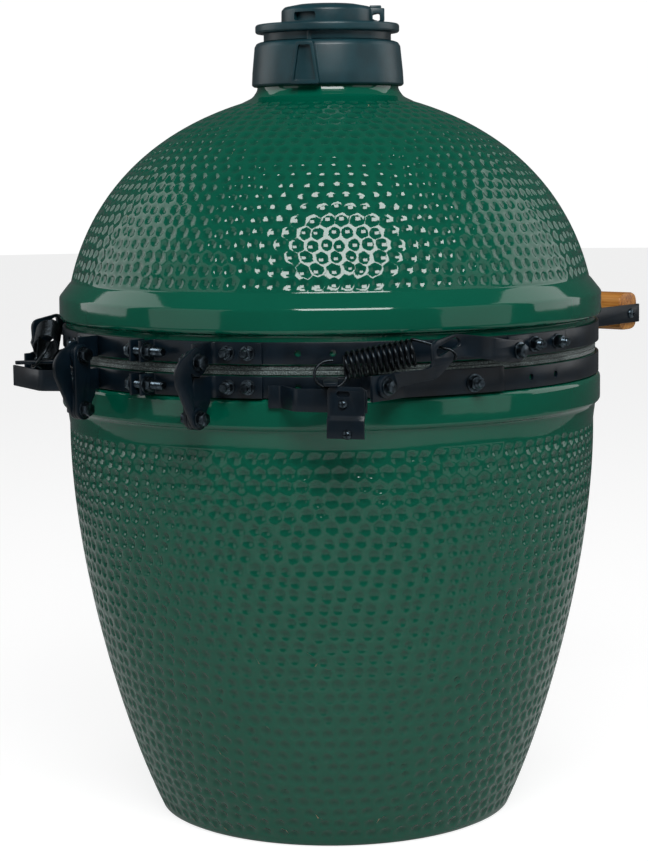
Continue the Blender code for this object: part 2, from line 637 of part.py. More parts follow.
def build_stand_plate(side, mats):
    """Slotted plate screwed flat on the outer end of one stand bracket."""
    run = (STAND_TIP - STAND_BEND).normalized()
    out = Vector((-run.y, run.x))
    if out.x < 0:
        out = -out
    base = STAND_BEND + out * (STEEL / 2.0 + GAP)

    def place(a, z, lift):
        p = base + run * a + out * lift
        return world(side, p.x, p.y, z)

    left, right = 0.0325, 0.068
    profile = [(0.4284, 0.0030), (0.4442, 0.0030), (0.4502, 0.0), (0.4757, 0.0)]
    bm = bmesh.new()
    rows = []
    for z, lift in profile:
        rows.append([bm.verts.new(place(left, z, lift)), bm.verts.new(place(right, z, lift)),
                     bm.verts.new(place(right, z, lift + STEEL)),
                     bm.verts.new(place(left, z, lift + STEEL))])
    for low, high in zip(rows, rows[1:]):
        for k in range(4):
            bm.faces.new((low[k], low[(k + 1) % 4], high[(k + 1) % 4], high[k]))
    bm.faces.new(rows[0])
    bm.faces.new(rows[-1])
    body = finish_mesh(bm, "stand_plate", mats["black"])
    normal = world(side, out.x, out.y, 0.0)
    for a, z, lift in ((0.0477, 0.4596, STEEL), (0.0520, 0.4322, STEEL + 0.003)):
        screw = [(0.0, -0.001), (0.0045, -0.001), (0.0045, 0.0012), (0.0028, 0.0030), (0.0, 0.0034)]
        join(body, turned("screw", screw, mats["bolt"], 10, along(place(a, z, lift), normal)))


# ---- inside the grill -------------------------------------------------------------------------
def build_fire_parts(mats):
    box_outline = [(0.055, 0.0345), (0.150, 0.0345), (0.163, 0.060), (0.185, 0.130), (0.205, 0.220),
                   (0.218, 0.330), (0.218, 0.345), (0.194, 0.345), (0.192, 0.310), (0.180, 0.220),
                   (0.160, 0.132), (0.152, 0.122), (0.140, 0.122), (0.128, 0.060), (0.055, 0.055)]
    fire_box = turned("fire_box", box_outline, mats["clay"], 30)
    cut(fire_box, box("mouth", (-0.05, -0.22, 0.066), (0.05, -0.08, 0.108), mats["clay"]))
    ring = [(0.200, 0.3453), (0.2385, 0.3453), (0.2435, 0.410), (0.2435, 0.435), (0.2150, 0.435),
            (0.2150, 0.375)]
    turned("fire_ring", ring, mats["clay"], 30)
    grate = turned("charcoal_grate", [(0.0, 0.1223), (0.1500, 0.1223), (0.1500, 0.1330),
                                      (0.0, 0.1330)], mats["iron"], 30)
    for i in range(-3, 4):
        y = i * 0.038
        reach = math.sqrt(0.138 ** 2 - y * y)
        cut(grate, box("slot", (-reach, y - 0.005, 0.11), (reach, y + 0.005, 0.15), mats["iron"]))


def build_cooking_grid(mats):
    """Round wire grid: a rim, parallel rods and two cross bars below them."""
    rim_r, rim_wire, rod_r, z = 0.2290, 0.0035, 0.0020, 0.4390
    outline = arc((rim_r, z), rim_wire, 0, 300, 5)
    grid = turned("cooking_grid", outline, mats["grid"], 30)
    pitch = 0.030
    for i in range(-7, 8):
        reach = math.sqrt(rim_r ** 2 - (i * pitch) ** 2)
        start, end = Vector((i * pitch, -reach, z + 0.0003)), Vector((i * pitch, reach, z + 0.0003))
        join(grid, rod("rod", start, end, rod_r, mats["grid"], 5))
    for y in (-0.09, 0.09):
        reach = math.sqrt(rim_r ** 2 - y * y)
        join(grid, rod("bar", (-reach, y, z - 0.0017), (reach, y, z - 0.0017), 0.0021,
                       mats["grid"], 6))


# ---- draft door -------------------------------------------------------------------------------
def build_draft(mats):
    """Channel frame on the bowl's flat boss, with a screen and a door that slide in it.

    Drawn upright with the boss at y = 0, then leaned back into place.
    """
    half, lip, rail = 0.0415, 0.0315, 0.0375
    profile = []
    for way in (-1, 1):
        arm = [(GAP, half), (GAP + 0.0085, half), (GAP + 0.0085, lip), (GAP + 0.0065, lip),
               (GAP + 0.0065, rail), (GAP + 0.0020, rail)]
        arm = [(-y, way * z) for y, z in arm]
        profile += arm if way < 0 else arm[::-1]
    frame = plate("draft_frame", profile, lambda y, z: Vector((-0.090, y, z)),
                  Vector((0.180, 0, 0)), mats["door"])
    cut(frame, box("window", (-0.060, -0.01, -0.028), (0.060, 0.01, 0.028), mats["door"]))
    top = rail - GAP
    back = GAP + 0.0024
    screen = box("ember_screen", (-0.066, -back - 0.0010, -top), (0.066, -back, top), mats["door"])
    join(screen, box("tab", (-0.070, -back - 0.0075, -0.012), (-0.0655, -back, 0.012), mats["door"]))
    for column in range(-3, 4):
        for row in (-1, 1):
            x, z = column * 0.016, row * 0.012
            cut(screen, rod("hole", (x, -0.02, z), (x, 0.02, z), 0.0045, mats["door"], 6))
    front = back + 0.0014
    door = box("draft_door", (-0.064, -front - 0.0020, -top), (0.066, -front, top), mats["door"])
    knob = [(0.0, -0.001), (0.0045, -0.001), (0.0045, 0.007), (0.0095, 0.010), (0.0095, 0.016),
            (0.006, 0.018), (0.0, 0.018)]
    join(door, turned("knob", knob, mats["bolt"], 12,
                      along((-0.042, -front - 0.0020, 0.0), (0, -1, 0))))
    for piece in (frame, screen, door):
        leaning(piece)


# ---- handle -----------------------------------------------------------------------------------
HANDLE_HALF = 0.1490
HANDLE_Y = -0.376             # front face of the wooden bar
HANDLE_SCREW_Y, HANDLE_SCREW_Z = -0.357, 0.5025


def build_handle(mats):
    mid = STRAP_MID_R
    arm_x = HANDLE_HALF + GAP + STEEL / 2.0
    root = math.degrees(math.asin(arm_x / mid))
    low, high = TOP_BAND_Z, TOP_BAND_Z + BAND_H
    for way, tag in ((1, "right"), (-1, "left")):
        side = -way
        pads = [(-u, w) for u, w in hug(mid, root + 12.0, root)]
        path = plan(side, pads + [(HANDLE_Y, arm_x)])
        arm = strap("handle_arm_" + tag, path, STEEL, low, high, mats["black"])
        centre = (way * arm_x, HANDLE_SCREW_Y, HANDLE_SCREW_Z)
        cut(arm, rod("hole", (way * 0.14, *centre[1:]), (way * 0.17, *centre[1:]), SMALL_HOLE_R,
                     mats["bolt"]))
        angle = 180.0 - root - 7.0
        join(arm, fastener(polar(side, angle, mid + STEEL / 2.0 - 0.0002, HANDLE_SCREW_Z),
                           polar(side, angle, 1.0, 0.0), mats["bolt"], 0.0062, 0.0072, 0.002))
        screw = [(0.0, -0.030), (0.0022, -0.030), (0.0022, GAP), (0.0058, GAP),
                 (0.0050, 0.0028), (0.0, 0.0036)]
        turned("handle_screw_" + tag, screw, mats["bolt"], 10,
               along((way * (arm_x + STEEL / 2.0), *centre[1:]), (way, 0, 0)))
    half_t, half_h, z = 0.019, 0.0210, 0.5050
    section = []
    for cy, cz, first in ((-1, 1, 90), (-1, -1, 180), (1, -1, 270), (1, 1, 0)):
        centre = (HANDLE_Y + half_t + cy * (half_t - 0.012), z + cz * (half_h - 0.012))
        section += arc(centre, 0.012, first, first + 90, 4)
    wood = plate("handle_wood", section, lambda y, h: Vector((-HANDLE_HALF, y, h)),
                 Vector((2 * HANDLE_HALF, 0, 0)), mats["wood"])
    for way in (1, -1):
        cut(wood, rod("pilot", (way * 0.115, HANDLE_SCREW_Y, HANDLE_SCREW_Z),
                      (way * 0.16, HANDLE_SCREW_Y, HANDLE_SCREW_Z), 0.0026, mats["wood"]))


# ---- thermometer ------------------------------------------------------------------------------
def build_thermometer(mats):
    frame = along(GAUGE_POINT, GAUGE_OUT)
    body = [(0.0, -0.060), (0.003, -0.055), (0.003, 0.0), (0.010, 0.004), (0.0255, 0.0045),
            (0.0265, 0.006), (0.0265, 0.015), (0.0245, 0.0165), (0.0225, 0.0150), (0.0225, 0.0100),
            (0.0, 0.0100)]
    turned("thermometer", body, mats["door"], 20, frame)
    tip = [(-0.0012, -0.006), (0.0012, -0.006), (0.0016, 0.0), (0.0, 0.0185), (-0.0016, 0.0)]
    plate("thermometer_pointer", tip, lambda a, b: frame @ Vector((a, b, 0.0112)),
          (frame.to_3x3() @ Vector((0, 0, 0.0008))), mats["pointer"],
          tuple(frame @ Vector((0, 0, 0.0112))))


# ---- vent cap ---------------------------------------------------------------------------------
def build_vent_cap(mats):
    """Collar on the neck, a swing plate that turns aside, and a dial that opens the vent."""
    collar = [(0.0745, COLLAR_Z), (0.0765, COLLAR_Z - 0.001), (0.0789, COLLAR_Z + 0.001),
              (0.0782, 0.7700), (0.0756, 0.7960), (0.0735, 0.7995), (0.0700, COLLAR_TOP),
              (0.0500, COLLAR_TOP), (0.0500, 0.7905), (0.0745, 0.7905)]
    base = turned("cap_collar", collar, mats["iron"], 28)
    out = (Vector((CAP_PIVOT.x, CAP_PIVOT.y, 0.0))).normalized()
    across = Vector((-out.y, out.x, 0.0))
    lug = [(-0.0150, COLLAR_Z), (0.0150, COLLAR_Z), (0.0085, 0.7985), (-0.0085, 0.7985)]
    join(base, plate("lug", lug, lambda a, z: out * 0.0745 + across * a + Vector((0, 0, z)),
                     out * 0.0095, mats["iron"]))
    cut(base, rod("socket", CAP_PIVOT + Vector((0, 0, 0.785)), CAP_PIVOT + Vector((0, 0, 0.82)),
                  0.0034, mats["iron"]))
    swing = [(0.0350, 0.8016), (0.0660, 0.8016), (0.0660, 0.8095), (0.0735, 0.8100),
             (0.0746, 0.8115), (0.0746, 0.8170), (0.0732, 0.8188), (0.0415, 0.8188),
             (0.0415, 0.8320), (0.0380, 0.8320), (0.0380, 0.8150), (0.0350, 0.8120)]
    pivot = tuple(CAP_PIVOT + Vector((0, 0, 0.8016)))
    plate_body = turned("cap_swing_plate", swing, mats["iron"], 28, origin=pivot)
    pin = rod("pin", CAP_PIVOT + Vector((0, 0, 0.7910)), CAP_PIVOT + Vector((0, 0, 0.8100)),
              0.0030, mats["iron"])
    join(plate_body, pin)
    dial = [(0.0, 0.8400), (0.0300, 0.8392), (0.0440, 0.8365), (0.0472, 0.8330), (0.0475, 0.8194),
            (0.0420, 0.8194), (0.0420, 0.8324), (0.0, 0.8340)]
    body = turned("cap_dial", dial, mats["iron"], 28, origin=(0.0, 0.0, 0.8194))
    reach = Vector((-0.7826, -0.6225, 0.0)).normalized()
    sideways = Vector((-reach.y, reach.x, 0.0))
    grip = [(0.0440, -0.0130), (0.0593, -0.0105), (0.0593, 0.0105), (0.0440, 0.0130)]
    join(body, plate("grip", grip, lambda a, b: reach * a + sideways * b + Vector((0, 0, 0.8215)),
                     Vector((0, 0, 0.0130)), mats["iron"]))
    for turn, target, low, high in ((0, plate_body, 0.8215, 0.8300), (60, body, 0.8215, 0.8300)):
        for k in range(3):
            a = math.radians(turn + 120 * k + 38.5)
            way = Vector((math.cos(a), math.sin(a), 0.0))
            window = [(0.030, -0.0125), (0.055, -0.0125), (0.055, 0.0125), (0.030, 0.0125)]
            side_way = Vector((-way.y, way.x, 0.0))
            tool = plate("window", window,
                         lambda a, b, w=way, s=side_way: w * a + s * b + Vector((0, 0, low)),
                         Vector((0, 0, high - low)), mats["iron"])
            cut(target, tool)


# ---- the whole grill --------------------------------------------------------------------------
def main():
    for obj in list(bpy.data.objects):
        bpy.data.objects.remove(obj)
    mats = all_materials()
    build_bowl(mats)
    build_dome(mats)
    build_gaskets(mats)
    for name, low in (("lower", LOW_BAND_Z), ("upper", TOP_BAND_Z)):
        build_band(name + "_band", low, mats)
        build_clamp_bolt(name + "_clamp_bolt", low, mats)
    for side, tag in ((1, "left"), (-1, "right")):
        build_hinge_brackets(side, tag, mats)
        build_links(side, tag, mats)
        build_lever_brackets(side, tag, mats)
        build_lever(side, tag, mats)
        build_pivot_bolt("lever_low_bolt_" + tag, side, LEVER_LOW, LEVER_LOW_W, 0.0055, mats)
        build_pivot_bolt("lever_top_bolt_" + tag, side, LEVER_TOP, LEVER_TOP_W, 0.0025, mats)
        build_spring_anchor(side, tag, mats)
        tube("lift_spring_" + tag, spring_path(side), WIRE_R, mats["spring"])
        build_stand_bracket(side, tag, mats)
    build_stand_plate(1, mats)
    build_fire_parts(mats)
    build_cooking_grid(mats)
    build_draft(mats)
    build_handle(mats)
    build_thermometer(mats)
    build_vent_cap(mats)


main()
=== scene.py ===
# %% [markdown]
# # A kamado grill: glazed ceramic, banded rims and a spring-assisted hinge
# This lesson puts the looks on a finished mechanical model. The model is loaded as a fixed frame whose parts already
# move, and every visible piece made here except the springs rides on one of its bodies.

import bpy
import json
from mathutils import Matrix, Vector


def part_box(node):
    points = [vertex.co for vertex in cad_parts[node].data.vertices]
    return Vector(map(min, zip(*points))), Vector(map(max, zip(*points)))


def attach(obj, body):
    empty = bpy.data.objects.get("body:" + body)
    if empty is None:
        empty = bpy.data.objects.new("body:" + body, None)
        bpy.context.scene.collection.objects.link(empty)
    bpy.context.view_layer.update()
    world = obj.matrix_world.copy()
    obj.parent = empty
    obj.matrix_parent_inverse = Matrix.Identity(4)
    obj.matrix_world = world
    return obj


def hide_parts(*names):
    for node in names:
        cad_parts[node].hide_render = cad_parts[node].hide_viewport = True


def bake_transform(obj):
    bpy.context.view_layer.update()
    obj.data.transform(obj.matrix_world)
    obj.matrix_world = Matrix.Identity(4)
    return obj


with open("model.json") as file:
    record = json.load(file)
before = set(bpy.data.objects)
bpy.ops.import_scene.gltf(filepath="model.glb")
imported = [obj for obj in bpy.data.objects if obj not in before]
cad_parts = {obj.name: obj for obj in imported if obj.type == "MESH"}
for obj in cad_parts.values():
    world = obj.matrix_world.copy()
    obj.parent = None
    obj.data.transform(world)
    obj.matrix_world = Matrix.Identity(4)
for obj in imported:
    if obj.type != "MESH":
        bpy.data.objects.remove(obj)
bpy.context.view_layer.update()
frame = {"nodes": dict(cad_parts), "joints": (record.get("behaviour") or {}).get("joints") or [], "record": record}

# %% [markdown]
# The other modules: math and numpy for places worked out by formula, bpy for the modelling
# operators, and mathutils for vectors and for the triangle net under the dimples. Random choices
# are seeded, so each run is the same.

# %% Modules and the seeded random numbers
import json
import math
import bpy
import numpy as np
from mathutils import Matrix, Vector, geometry

chance = np.random.default_rng(7)
print("Blender", bpy.app.version_string)

# %% [markdown]
# Driving sizes. Heights come from the frame's own boxes, pivots from its joints, so the pieces made
# here land on the mechanism. Hinge pieces come in pairs and are drawn in hinge coordinates: u runs
# back along +Y, w runs out to the piece's own side, z is height. Side +1 is the -X side, tag "left".

# %% Driving sizes, read from the frame
MM = 0.001
seam_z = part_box("bowl_gasket")[1].z + 0.00015
ceramic_r = 0.277
band_t = 0.003
band_h = 0.0205
steel_t = 0.003
lever_t = 0.004
bolt_r = 0.0042
low_band_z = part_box("lower_band")[0].z
top_band_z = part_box("upper_band")[0].z
joint_at = {joint["name"]: Vector(joint.get("pos_m", (0, 0, 0))) for joint in frame["joints"]}
lever_low = (joint_at["dome_lift"].y, joint_at["dome_lift"].z)
lever_top = (joint_at["dome_tilt"].y, joint_at["dome_tilt"].z)
link_low = (joint_at["link_swing"].y, joint_at["link_swing"].z)
link_top = (link_low[0] + 0.001, link_low[1] + 0.053)
band_outer_r = ceramic_r + 0.0003 + band_t
strap_mid_r = band_outer_r + 0.0003 + steel_t / 2
link_w, lever_low_w, lever_top_w = 0.075, 0.2265, 0.2785
SIDES = ((1, "left"), (-1, "right"))
print("gaskets meet at", round(seam_z, 4), "m; lever pivots", lever_low, lever_top)


# %% Hinge coordinates
def hinge_point(side, u, w, z):
    return Vector((-side * w, u, z))


def around(side, angle, radius, z):
    """A point at an angle in degrees from the hinge, seen from above."""
    a = math.radians(angle)
    return hinge_point(side, radius * math.cos(a), radius * math.sin(a), z)


# %% [markdown]
# Operators act on whatever is selected, and loading leaves the frame's nodes selected. These small
# helpers deselect everything first, then select one object and make it active.

# %% Selection helpers
def deselect_all():
    if bpy.context.object and bpy.context.object.mode != "OBJECT":
        bpy.ops.object.mode_set(mode="OBJECT")
    bpy.ops.object.select_all(action="DESELECT")


def pick(*objects):
    """Select these objects only; the first is the active one."""
    deselect_all()
    for item in objects:
        item.select_set(True)
    bpy.context.view_layer.objects.active = objects[0]
    return objects[0]


def apply_step(obj, kind, **settings):
    """Add a modifier with its settings and apply it."""
    pick(obj)
    step = obj.modifiers.new(kind, kind)
    for name, value in settings.items():
        setattr(step, name, value)
    bpy.ops.object.modifier_apply(modifier=step.name)
    return obj


def bake_place(obj):
    """Move the object's place, turn and scale into its mesh."""
    pick(obj)
    bpy.ops.object.transform_apply(location=True, rotation=True, scale=True)
    return obj


def smooth(obj, angle=35):
    pick(obj)
    bpy.ops.object.shade_smooth_by_angle(angle=math.radians(angle))
    return obj


def join_as(name, pieces):
    """Join objects into one piece with its own mesh name."""
    pick(*pieces)
    if len(pieces) > 1:
        bpy.ops.object.join()
    joined = bpy.context.object
    joined.name = joined.data.name = name
    return joined


def combine(target, tool, operation, solver="EXACT"):
    """Cut or join with a tool mesh, then remove the tool."""
    apply_step(target, "BOOLEAN", operation=operation, object=tool, solver=solver)
    bpy.data.objects.remove(tool)
    return target


print("selection helpers ready")

# %% [markdown]
# A list of the finished pieces' names, and a count of the triangles a piece would export as.

# %% List of pieces
made = []


def count_triangles(obj):
    return sum(len(face.vertices) - 2 for face in obj.data.polygons)


# %% [markdown]
# ## Camera, floor and light
# A long lens from a little above the rim keeps the round rims nearly flat. The camera stands 2.3 m
# from the grill's axis, behind it and to its left, and looks slightly down.

# %% Camera
camera_data = bpy.data.cameras.new("view_from_the_hinge_side")
camera_data.lens = 91.85
camera_data.sensor_width = 36
camera = bpy.data.objects.new("view_from_the_hinge_side", camera_data)
bpy.context.collection.objects.link(camera)
bpy.context.scene.camera = camera
camera_distance, camera_height = 2.31, 0.683
toward_camera = Vector((-0.6225, 0.7826, 0))
camera.location = toward_camera * camera_distance + Vector((0, 0, camera_height))
heading = math.atan2(-toward_camera.y, -toward_camera.x) + math.radians(0.203)
tip_down, roll = math.radians(7.1), math.radians(-0.674)
look = Matrix.Rotation(heading - math.pi / 2, 4, "Z") @ Matrix.Rotation(math.pi / 2 - tip_down, 4, "X")
camera.rotation_euler = (look @ Matrix.Rotation(roll, 4, "Z")).to_euler()
bpy.context.scene.view_settings.view_transform = "Standard"
print("camera at", [round(c, 3) for c in camera.location])

# %% [markdown]
# The glaze mirrors the room, so the room matters as much as the lamps: a dim studio, a soft box
# high behind the camera for the bright cluster on the dome, and soft boxes at both sides. The floor
# is in two layers: a small grey stage that the lamps light and the glaze mirrors, and a wide pale
# floor that only the camera sees. A plain white shell closes the view.


# %% Floor, surround and soft boxes
def soft_box(name, azimuth, elevation, distance, width, height, radiance):
    """A rectangular lamp that faces the grill, placed by compass angle from the camera's heading."""
    out = Matrix.Rotation(math.radians(azimuth), 3, "Z") @ toward_camera
    rise = math.radians(elevation)
    lamp_data = bpy.data.lights.new(name, "AREA")
    lamp_data.shape = "RECTANGLE"
    lamp_data.size, lamp_data.size_y = width, height
    lamp_data.energy = radiance * math.pi * width * height
    lamp = bpy.data.objects.new(name, lamp_data)
    bpy.context.collection.objects.link(lamp)
    aim = Vector((0, 0, 0.5))
    lamp.location = aim + distance * (out * math.cos(rise) + Vector((0, 0, math.sin(rise))))
    lamp.rotation_euler = (lamp.location - aim).to_track_quat("Z", "Y").to_euler()
    return lamp


def stage_finish(obj, grey, glow):
    """A plain matt grey that also glows by itself."""
    finish = bpy.data.materials.new(obj.name)
    finish.use_nodes = True
    shader = finish.node_tree.nodes["Principled BSDF"]
    shader.inputs["Base Color"].default_value = (grey, grey, grey, 1)
    shader.inputs["Roughness"].default_value = 0.9
    shader.inputs["Specular IOR Level"].default_value = 0
    shader.inputs["Emission Color"].default_value = (1, 1, 1, 1)
    shader.inputs["Emission Strength"].default_value = glow
    obj.data.materials.append(finish)


def only_for_camera(obj):
    obj.visible_diffuse = obj.visible_glossy = obj.visible_shadow = obj.visible_transmission = False


deselect_all()
bpy.ops.mesh.primitive_plane_add(size=3.4, location=(0, 0, -0.0008))
stage_floor = bpy.context.object
stage_floor.name = "grey_stage"
stage_floor.visible_camera = False
stage_finish(stage_floor, 0.62, 0)
deselect_all()
bpy.ops.mesh.primitive_plane_add(size=28, location=(0, 0, -0.0004))
floor = bpy.context.object
floor.name = "pale_floor"
only_for_camera(floor)
stage_finish(floor, 0.28, 0.84)
deselect_all()
bpy.ops.mesh.primitive_uv_sphere_add(radius=14, segments=32, ring_count=16)
shell = bpy.context.object
shell.name = "white_shell"
only_for_camera(shell)
stage_finish(shell, 0, 1.02)
world = bpy.data.worlds.new("dim_studio")
bpy.context.scene.world = world
world.use_nodes = True
world.node_tree.nodes["Background"].inputs["Color"].default_value = (0.93, 0.96, 1, 1)
world.node_tree.nodes["Background"].inputs["Strength"].default_value = 0.09
soft_box("high_key", 6, 43, 2.6, 1.5, 1.15, 11)
for way, word in ((1, "left"), (-1, "right")):
    soft_box(word + "_front_tower", 60 * way, 12, 3.0, 1.8, 2.4, 0.55)
    soft_box(word + "_side_tower", 106 * way, 22, 3.0, 2.0, 2.6, 1.3)
print("floor, surround and", len(bpy.data.lights), "lamps")

# %% [markdown]
# ## Finishes
# Colours are chosen as sRGB hex values and turned into linear light by one function. One small
# function adds a shader node with its settings and its links.


# %% Colour and node helpers
def linear(hex_colour):
    """sRGB hex to linear RGBA."""
    parts = [int(hex_colour[i:i + 2], 16) / 255 for i in (1, 3, 5)]
    return tuple(c / 12.92 if c <= 0.04045 else ((c + 0.055) / 1.055) ** 2.4 for c in parts) + (1.0,)


def add_node(tree, kind, inputs=None, **settings):
    """Add a node; inputs are numbers, colours or another node's output socket."""
    node = tree.nodes.new(kind)
    for name, value in settings.items():
        setattr(node, name, value)
    for name, value in (inputs or {}).items():
        if isinstance(value, bpy.types.NodeSocket):
            tree.links.new(value, node.inputs[name])
        else:
            node.inputs[name].default_value = value
    return node


def new_finish(name, roughness, metallic=0.0, colour="#808080"):
    """A material with a Principled shader; returns the material, its tree and the shader."""
    finish = bpy.data.materials.new(name)
    finish.use_nodes = True
    tree = finish.node_tree
    shader = tree.nodes["Principled BSDF"]
    shader.inputs["Base Color"].default_value = linear(colour)
    shader.inputs["Roughness"].default_value = roughness
    shader.inputs["Metallic"].default_value = metallic
    return finish, tree, shader


def ramp(tree, factor, stops, interpolation="LINEAR"):
    """A colour ramp with (place, hex colour) stops."""
    node = add_node(tree, "ShaderNodeValToRGB", {"Fac": factor})
    node.color_ramp.interpolation = interpolation
    while len(node.color_ramp.elements) < len(stops):
        node.color_ramp.elements.new(0.5)
    for element, (place, colour) in zip(node.color_ramp.elements, stops):
        element.position = place
        element.color = linear(colour)
    return node.outputs["Color"]


def noise(tree, size_mm, detail=3.0, stretch=(1, 1, 1), kind="Object"):
    """Noise on object coordinates whose blobs are about size_mm across."""
    place = add_node(tree, "ShaderNodeTexCoord").outputs[kind]
    scaled = add_node(tree, "ShaderNodeMapping", {"Vector": place, "Scale": stretch})
    pattern = add_node(tree, "ShaderNodeTexNoise", {"Vector": scaled.outputs["Vector"],
                                                    "Scale": 1000 / size_mm, "Detail": detail})
    return pattern.outputs["Fac"]


def raise_surface(tree, shader, height, distance_mm, strength=1.0, under=None):
    """Bump the shader by a height pattern that is distance_mm deep."""
    inputs = {"Height": height, "Distance": distance_mm * MM, "Strength": strength}
    if under is not None:
        inputs["Normal"] = under
    bump = add_node(tree, "ShaderNodeBump", inputs)
    tree.links.new(bump.outputs["Normal"], shader.inputs["Normal"])
    return bump.outputs["Normal"]


def patterned(name, roughness, metallic, pattern, stops, *bumps):
    """A finish coloured by one noise pattern, with bumps as (pattern, depth in mm, strength)."""
    finish, tree, shader = new_finish(name, roughness, metallic)
    tree.links.new(ramp(tree, noise(tree, *pattern), stops), shader.inputs["Base Color"])
    under = None
    for grain, depth_mm, strength in bumps:
        under = raise_surface(tree, shader, noise(tree, *grain), depth_mm, strength, under)
    return finish, tree, shader


print("colour and node helpers ready")

# %% [markdown]
# Glazed stoneware. The glass coat is smooth, clear and about 0.3 mm thick, over a deep green body.
# The dimple bottoms are coloured darker and the lands between them slightly lighter: partly the glaze lying thicker in
# the hollows and thinner on the lands, partly painted shade of the hollows. Faint waves in the fired coat bend the
# reflections. The shell functions further on store how deep in a dimple each point lies as a point attribute, which the
# colour below reads.

# %% Green glaze
green_glaze, tree, shader = new_finish("green_glazed_stoneware", 0.07)
# Dimple depth darkens the colour: painted shade in the cup bottoms, with some darkening from thicker glaze there.
pooling_and_shade = add_node(tree, "ShaderNodeAttribute", attribute_name="pooling_and_shade").outputs["Fac"]
mottle = noise(tree, 45, 4)
shade = add_node(tree, "ShaderNodeMath", {0: mottle, 1: 0.35}, operation="MULTIPLY").outputs[0]
depth = add_node(tree, "ShaderNodeMath", {0: pooling_and_shade, 1: 0.6, 2: shade}, operation="MULTIPLY_ADD").outputs[0]
# Ramp from the lighter land green to the darker cup green; the darker end is partly painted shade.
tree.links.new(ramp(tree, depth, [(0.0, "#035541"), (0.25, "#02503D"), (0.9, "#024334")]),
               shader.inputs["Base Color"])
shader.inputs["IOR"].default_value = 1.52
wave = raise_surface(tree, shader, noise(tree, 28, 2), 0.35, 0.5)
raise_surface(tree, shader, noise(tree, 4, 2), 0.03, 0.4, wave)
print("glaze:", green_glaze.name)

# %% [markdown]
# Unglazed fired clay inside the shells and for the fire box and ring: a dry, pale buff body with
# grog specks about 1.5 mm across, smoke-stained towards the rim.

# %% Fired clay
fired_clay, tree, shader = new_finish("buff_fired_clay", 0.92)
stain = add_node(tree, "ShaderNodeMath", {0: noise(tree, 60, 5), 1: noise(tree, 1.5, 2)},
                 operation="MULTIPLY").outputs[0]
tree.links.new(ramp(tree, stain, [(0.1, "#A08468"), (0.3, "#BFA284"), (0.5, "#CDB598")]),
               shader.inputs["Base Color"])
raise_surface(tree, shader, noise(tree, 2, 6), 0.25, 0.7)
print("clay:", fired_clay.name)

# %% [markdown]
# ## The two ceramic shells
# The shells are turned on a wheel-like mould and carry thousands of shallow round dimples with a flat
# land between them, packed almost like honeycomb but never quite regular. A displacement map on a
# plain lathe would need millions of faces to keep each dimple round, so the net of faces is built
# around the dimples instead: dimple centres are laid in rows, joined into triangles, and each centre
# gets two rings of points, one inside the cup and one on its lip. This is mesh code and not an
# operator, because no operator can place three thousand cups on a curved wall.


# %% Curves for turned outlines
def bezier(p0, p1, p2, p3, steps):
    """Points of a cubic curve, with both ends."""
    t = np.linspace(0, 1, steps + 1)[:, None]
    s = 1 - t
    p0, p1, p2, p3 = (np.array(p, float) for p in (p0, p1, p2, p3))
    return s ** 3 * p0 + 3 * s * s * t * p1 + 3 * s * t * t * p2 + t ** 3 * p3


def soften(outline, radius, steps=3, closed=False):
    """Round each corner of an outline of (x, y) points with a short curve."""
    points = [np.array(p, float) for p in outline]
    rounded = []
    for i, here in enumerate(points):
        before, after = points[i - 1], points[(i + 1) % len(points)]
        if not closed and i in (0, len(points) - 1):
            rounded.append(here)
            continue
        back, ahead = before - here, after - here
        lengths = np.linalg.norm(back), np.linalg.norm(ahead)
        turn = abs(back[0] * ahead[1] - back[1] * ahead[0]) / (lengths[0] * lengths[1])
        if turn < 0.05:
            rounded.append(here)
            continue
        cut = [min(radius, 0.45 * length) for length in lengths]
        start, end = here + back / lengths[0] * cut[0], here + ahead / lengths[1] * cut[1]
        for k in range(steps + 1):
            t = k / steps
            rounded.append((1 - t) ** 2 * start + 2 * t * (1 - t) * here + t * t * end)
    return [tuple(p) for p in rounded]


def zip_rings(low, high):
    """Faces between two closed rings of vertex numbers, which may differ in count."""
    if len(high) == 1:
        return [(low[k], low[(k + 1) % len(low)], high[0]) for k in range(len(low))]
    if len(low) == len(high):
        count = len(low)
        return [(low[k], low[(k + 1) % count], high[(k + 1) % count], high[k]) for k in range(count)]
    faces, i, j = [], 0, 0
    while i < len(low) or j < len(high):
        if j >= len(high) or (i < len(low) and (i + 1) / len(low) <= (j + 1) / len(high)):
            faces.append((low[i], low[(i + 1) % len(low)], high[j % len(high)]))
            i += 1
        else:
            faces.append((low[i % len(low)], high[(j + 1) % len(high)], high[j]))
            j += 1
    return faces


# %% The dimpled wall
def dimple_centres(radius_at, wall_length, spacing):
    """Rows of slightly scattered centres as (angle, distance along the wall)."""
    row_gap = spacing * math.sqrt(3) / 2
    rows = int((wall_length - 1.24 * spacing) / row_gap) + 1
    row_gap = (wall_length - 1.24 * spacing) / (rows - 1)
    centres, phase = [], 0.0
    for row in range(rows):
        s = 0.62 * spacing + row * row_gap
        count = round(2 * math.pi * radius_at(s) / spacing)
        phase += 0.5 + chance.uniform(-0.12, 0.12)
        for k in range(count):
            shift = chance.normal(0, 0.08, 2)
            edge = 0.3 if row in (0, rows - 1) else 1.0
            centres.append(((k + phase + shift[0]) / count * 2 * math.pi % (2 * math.pi),
                            s + shift[1] * spacing * edge))
    return centres


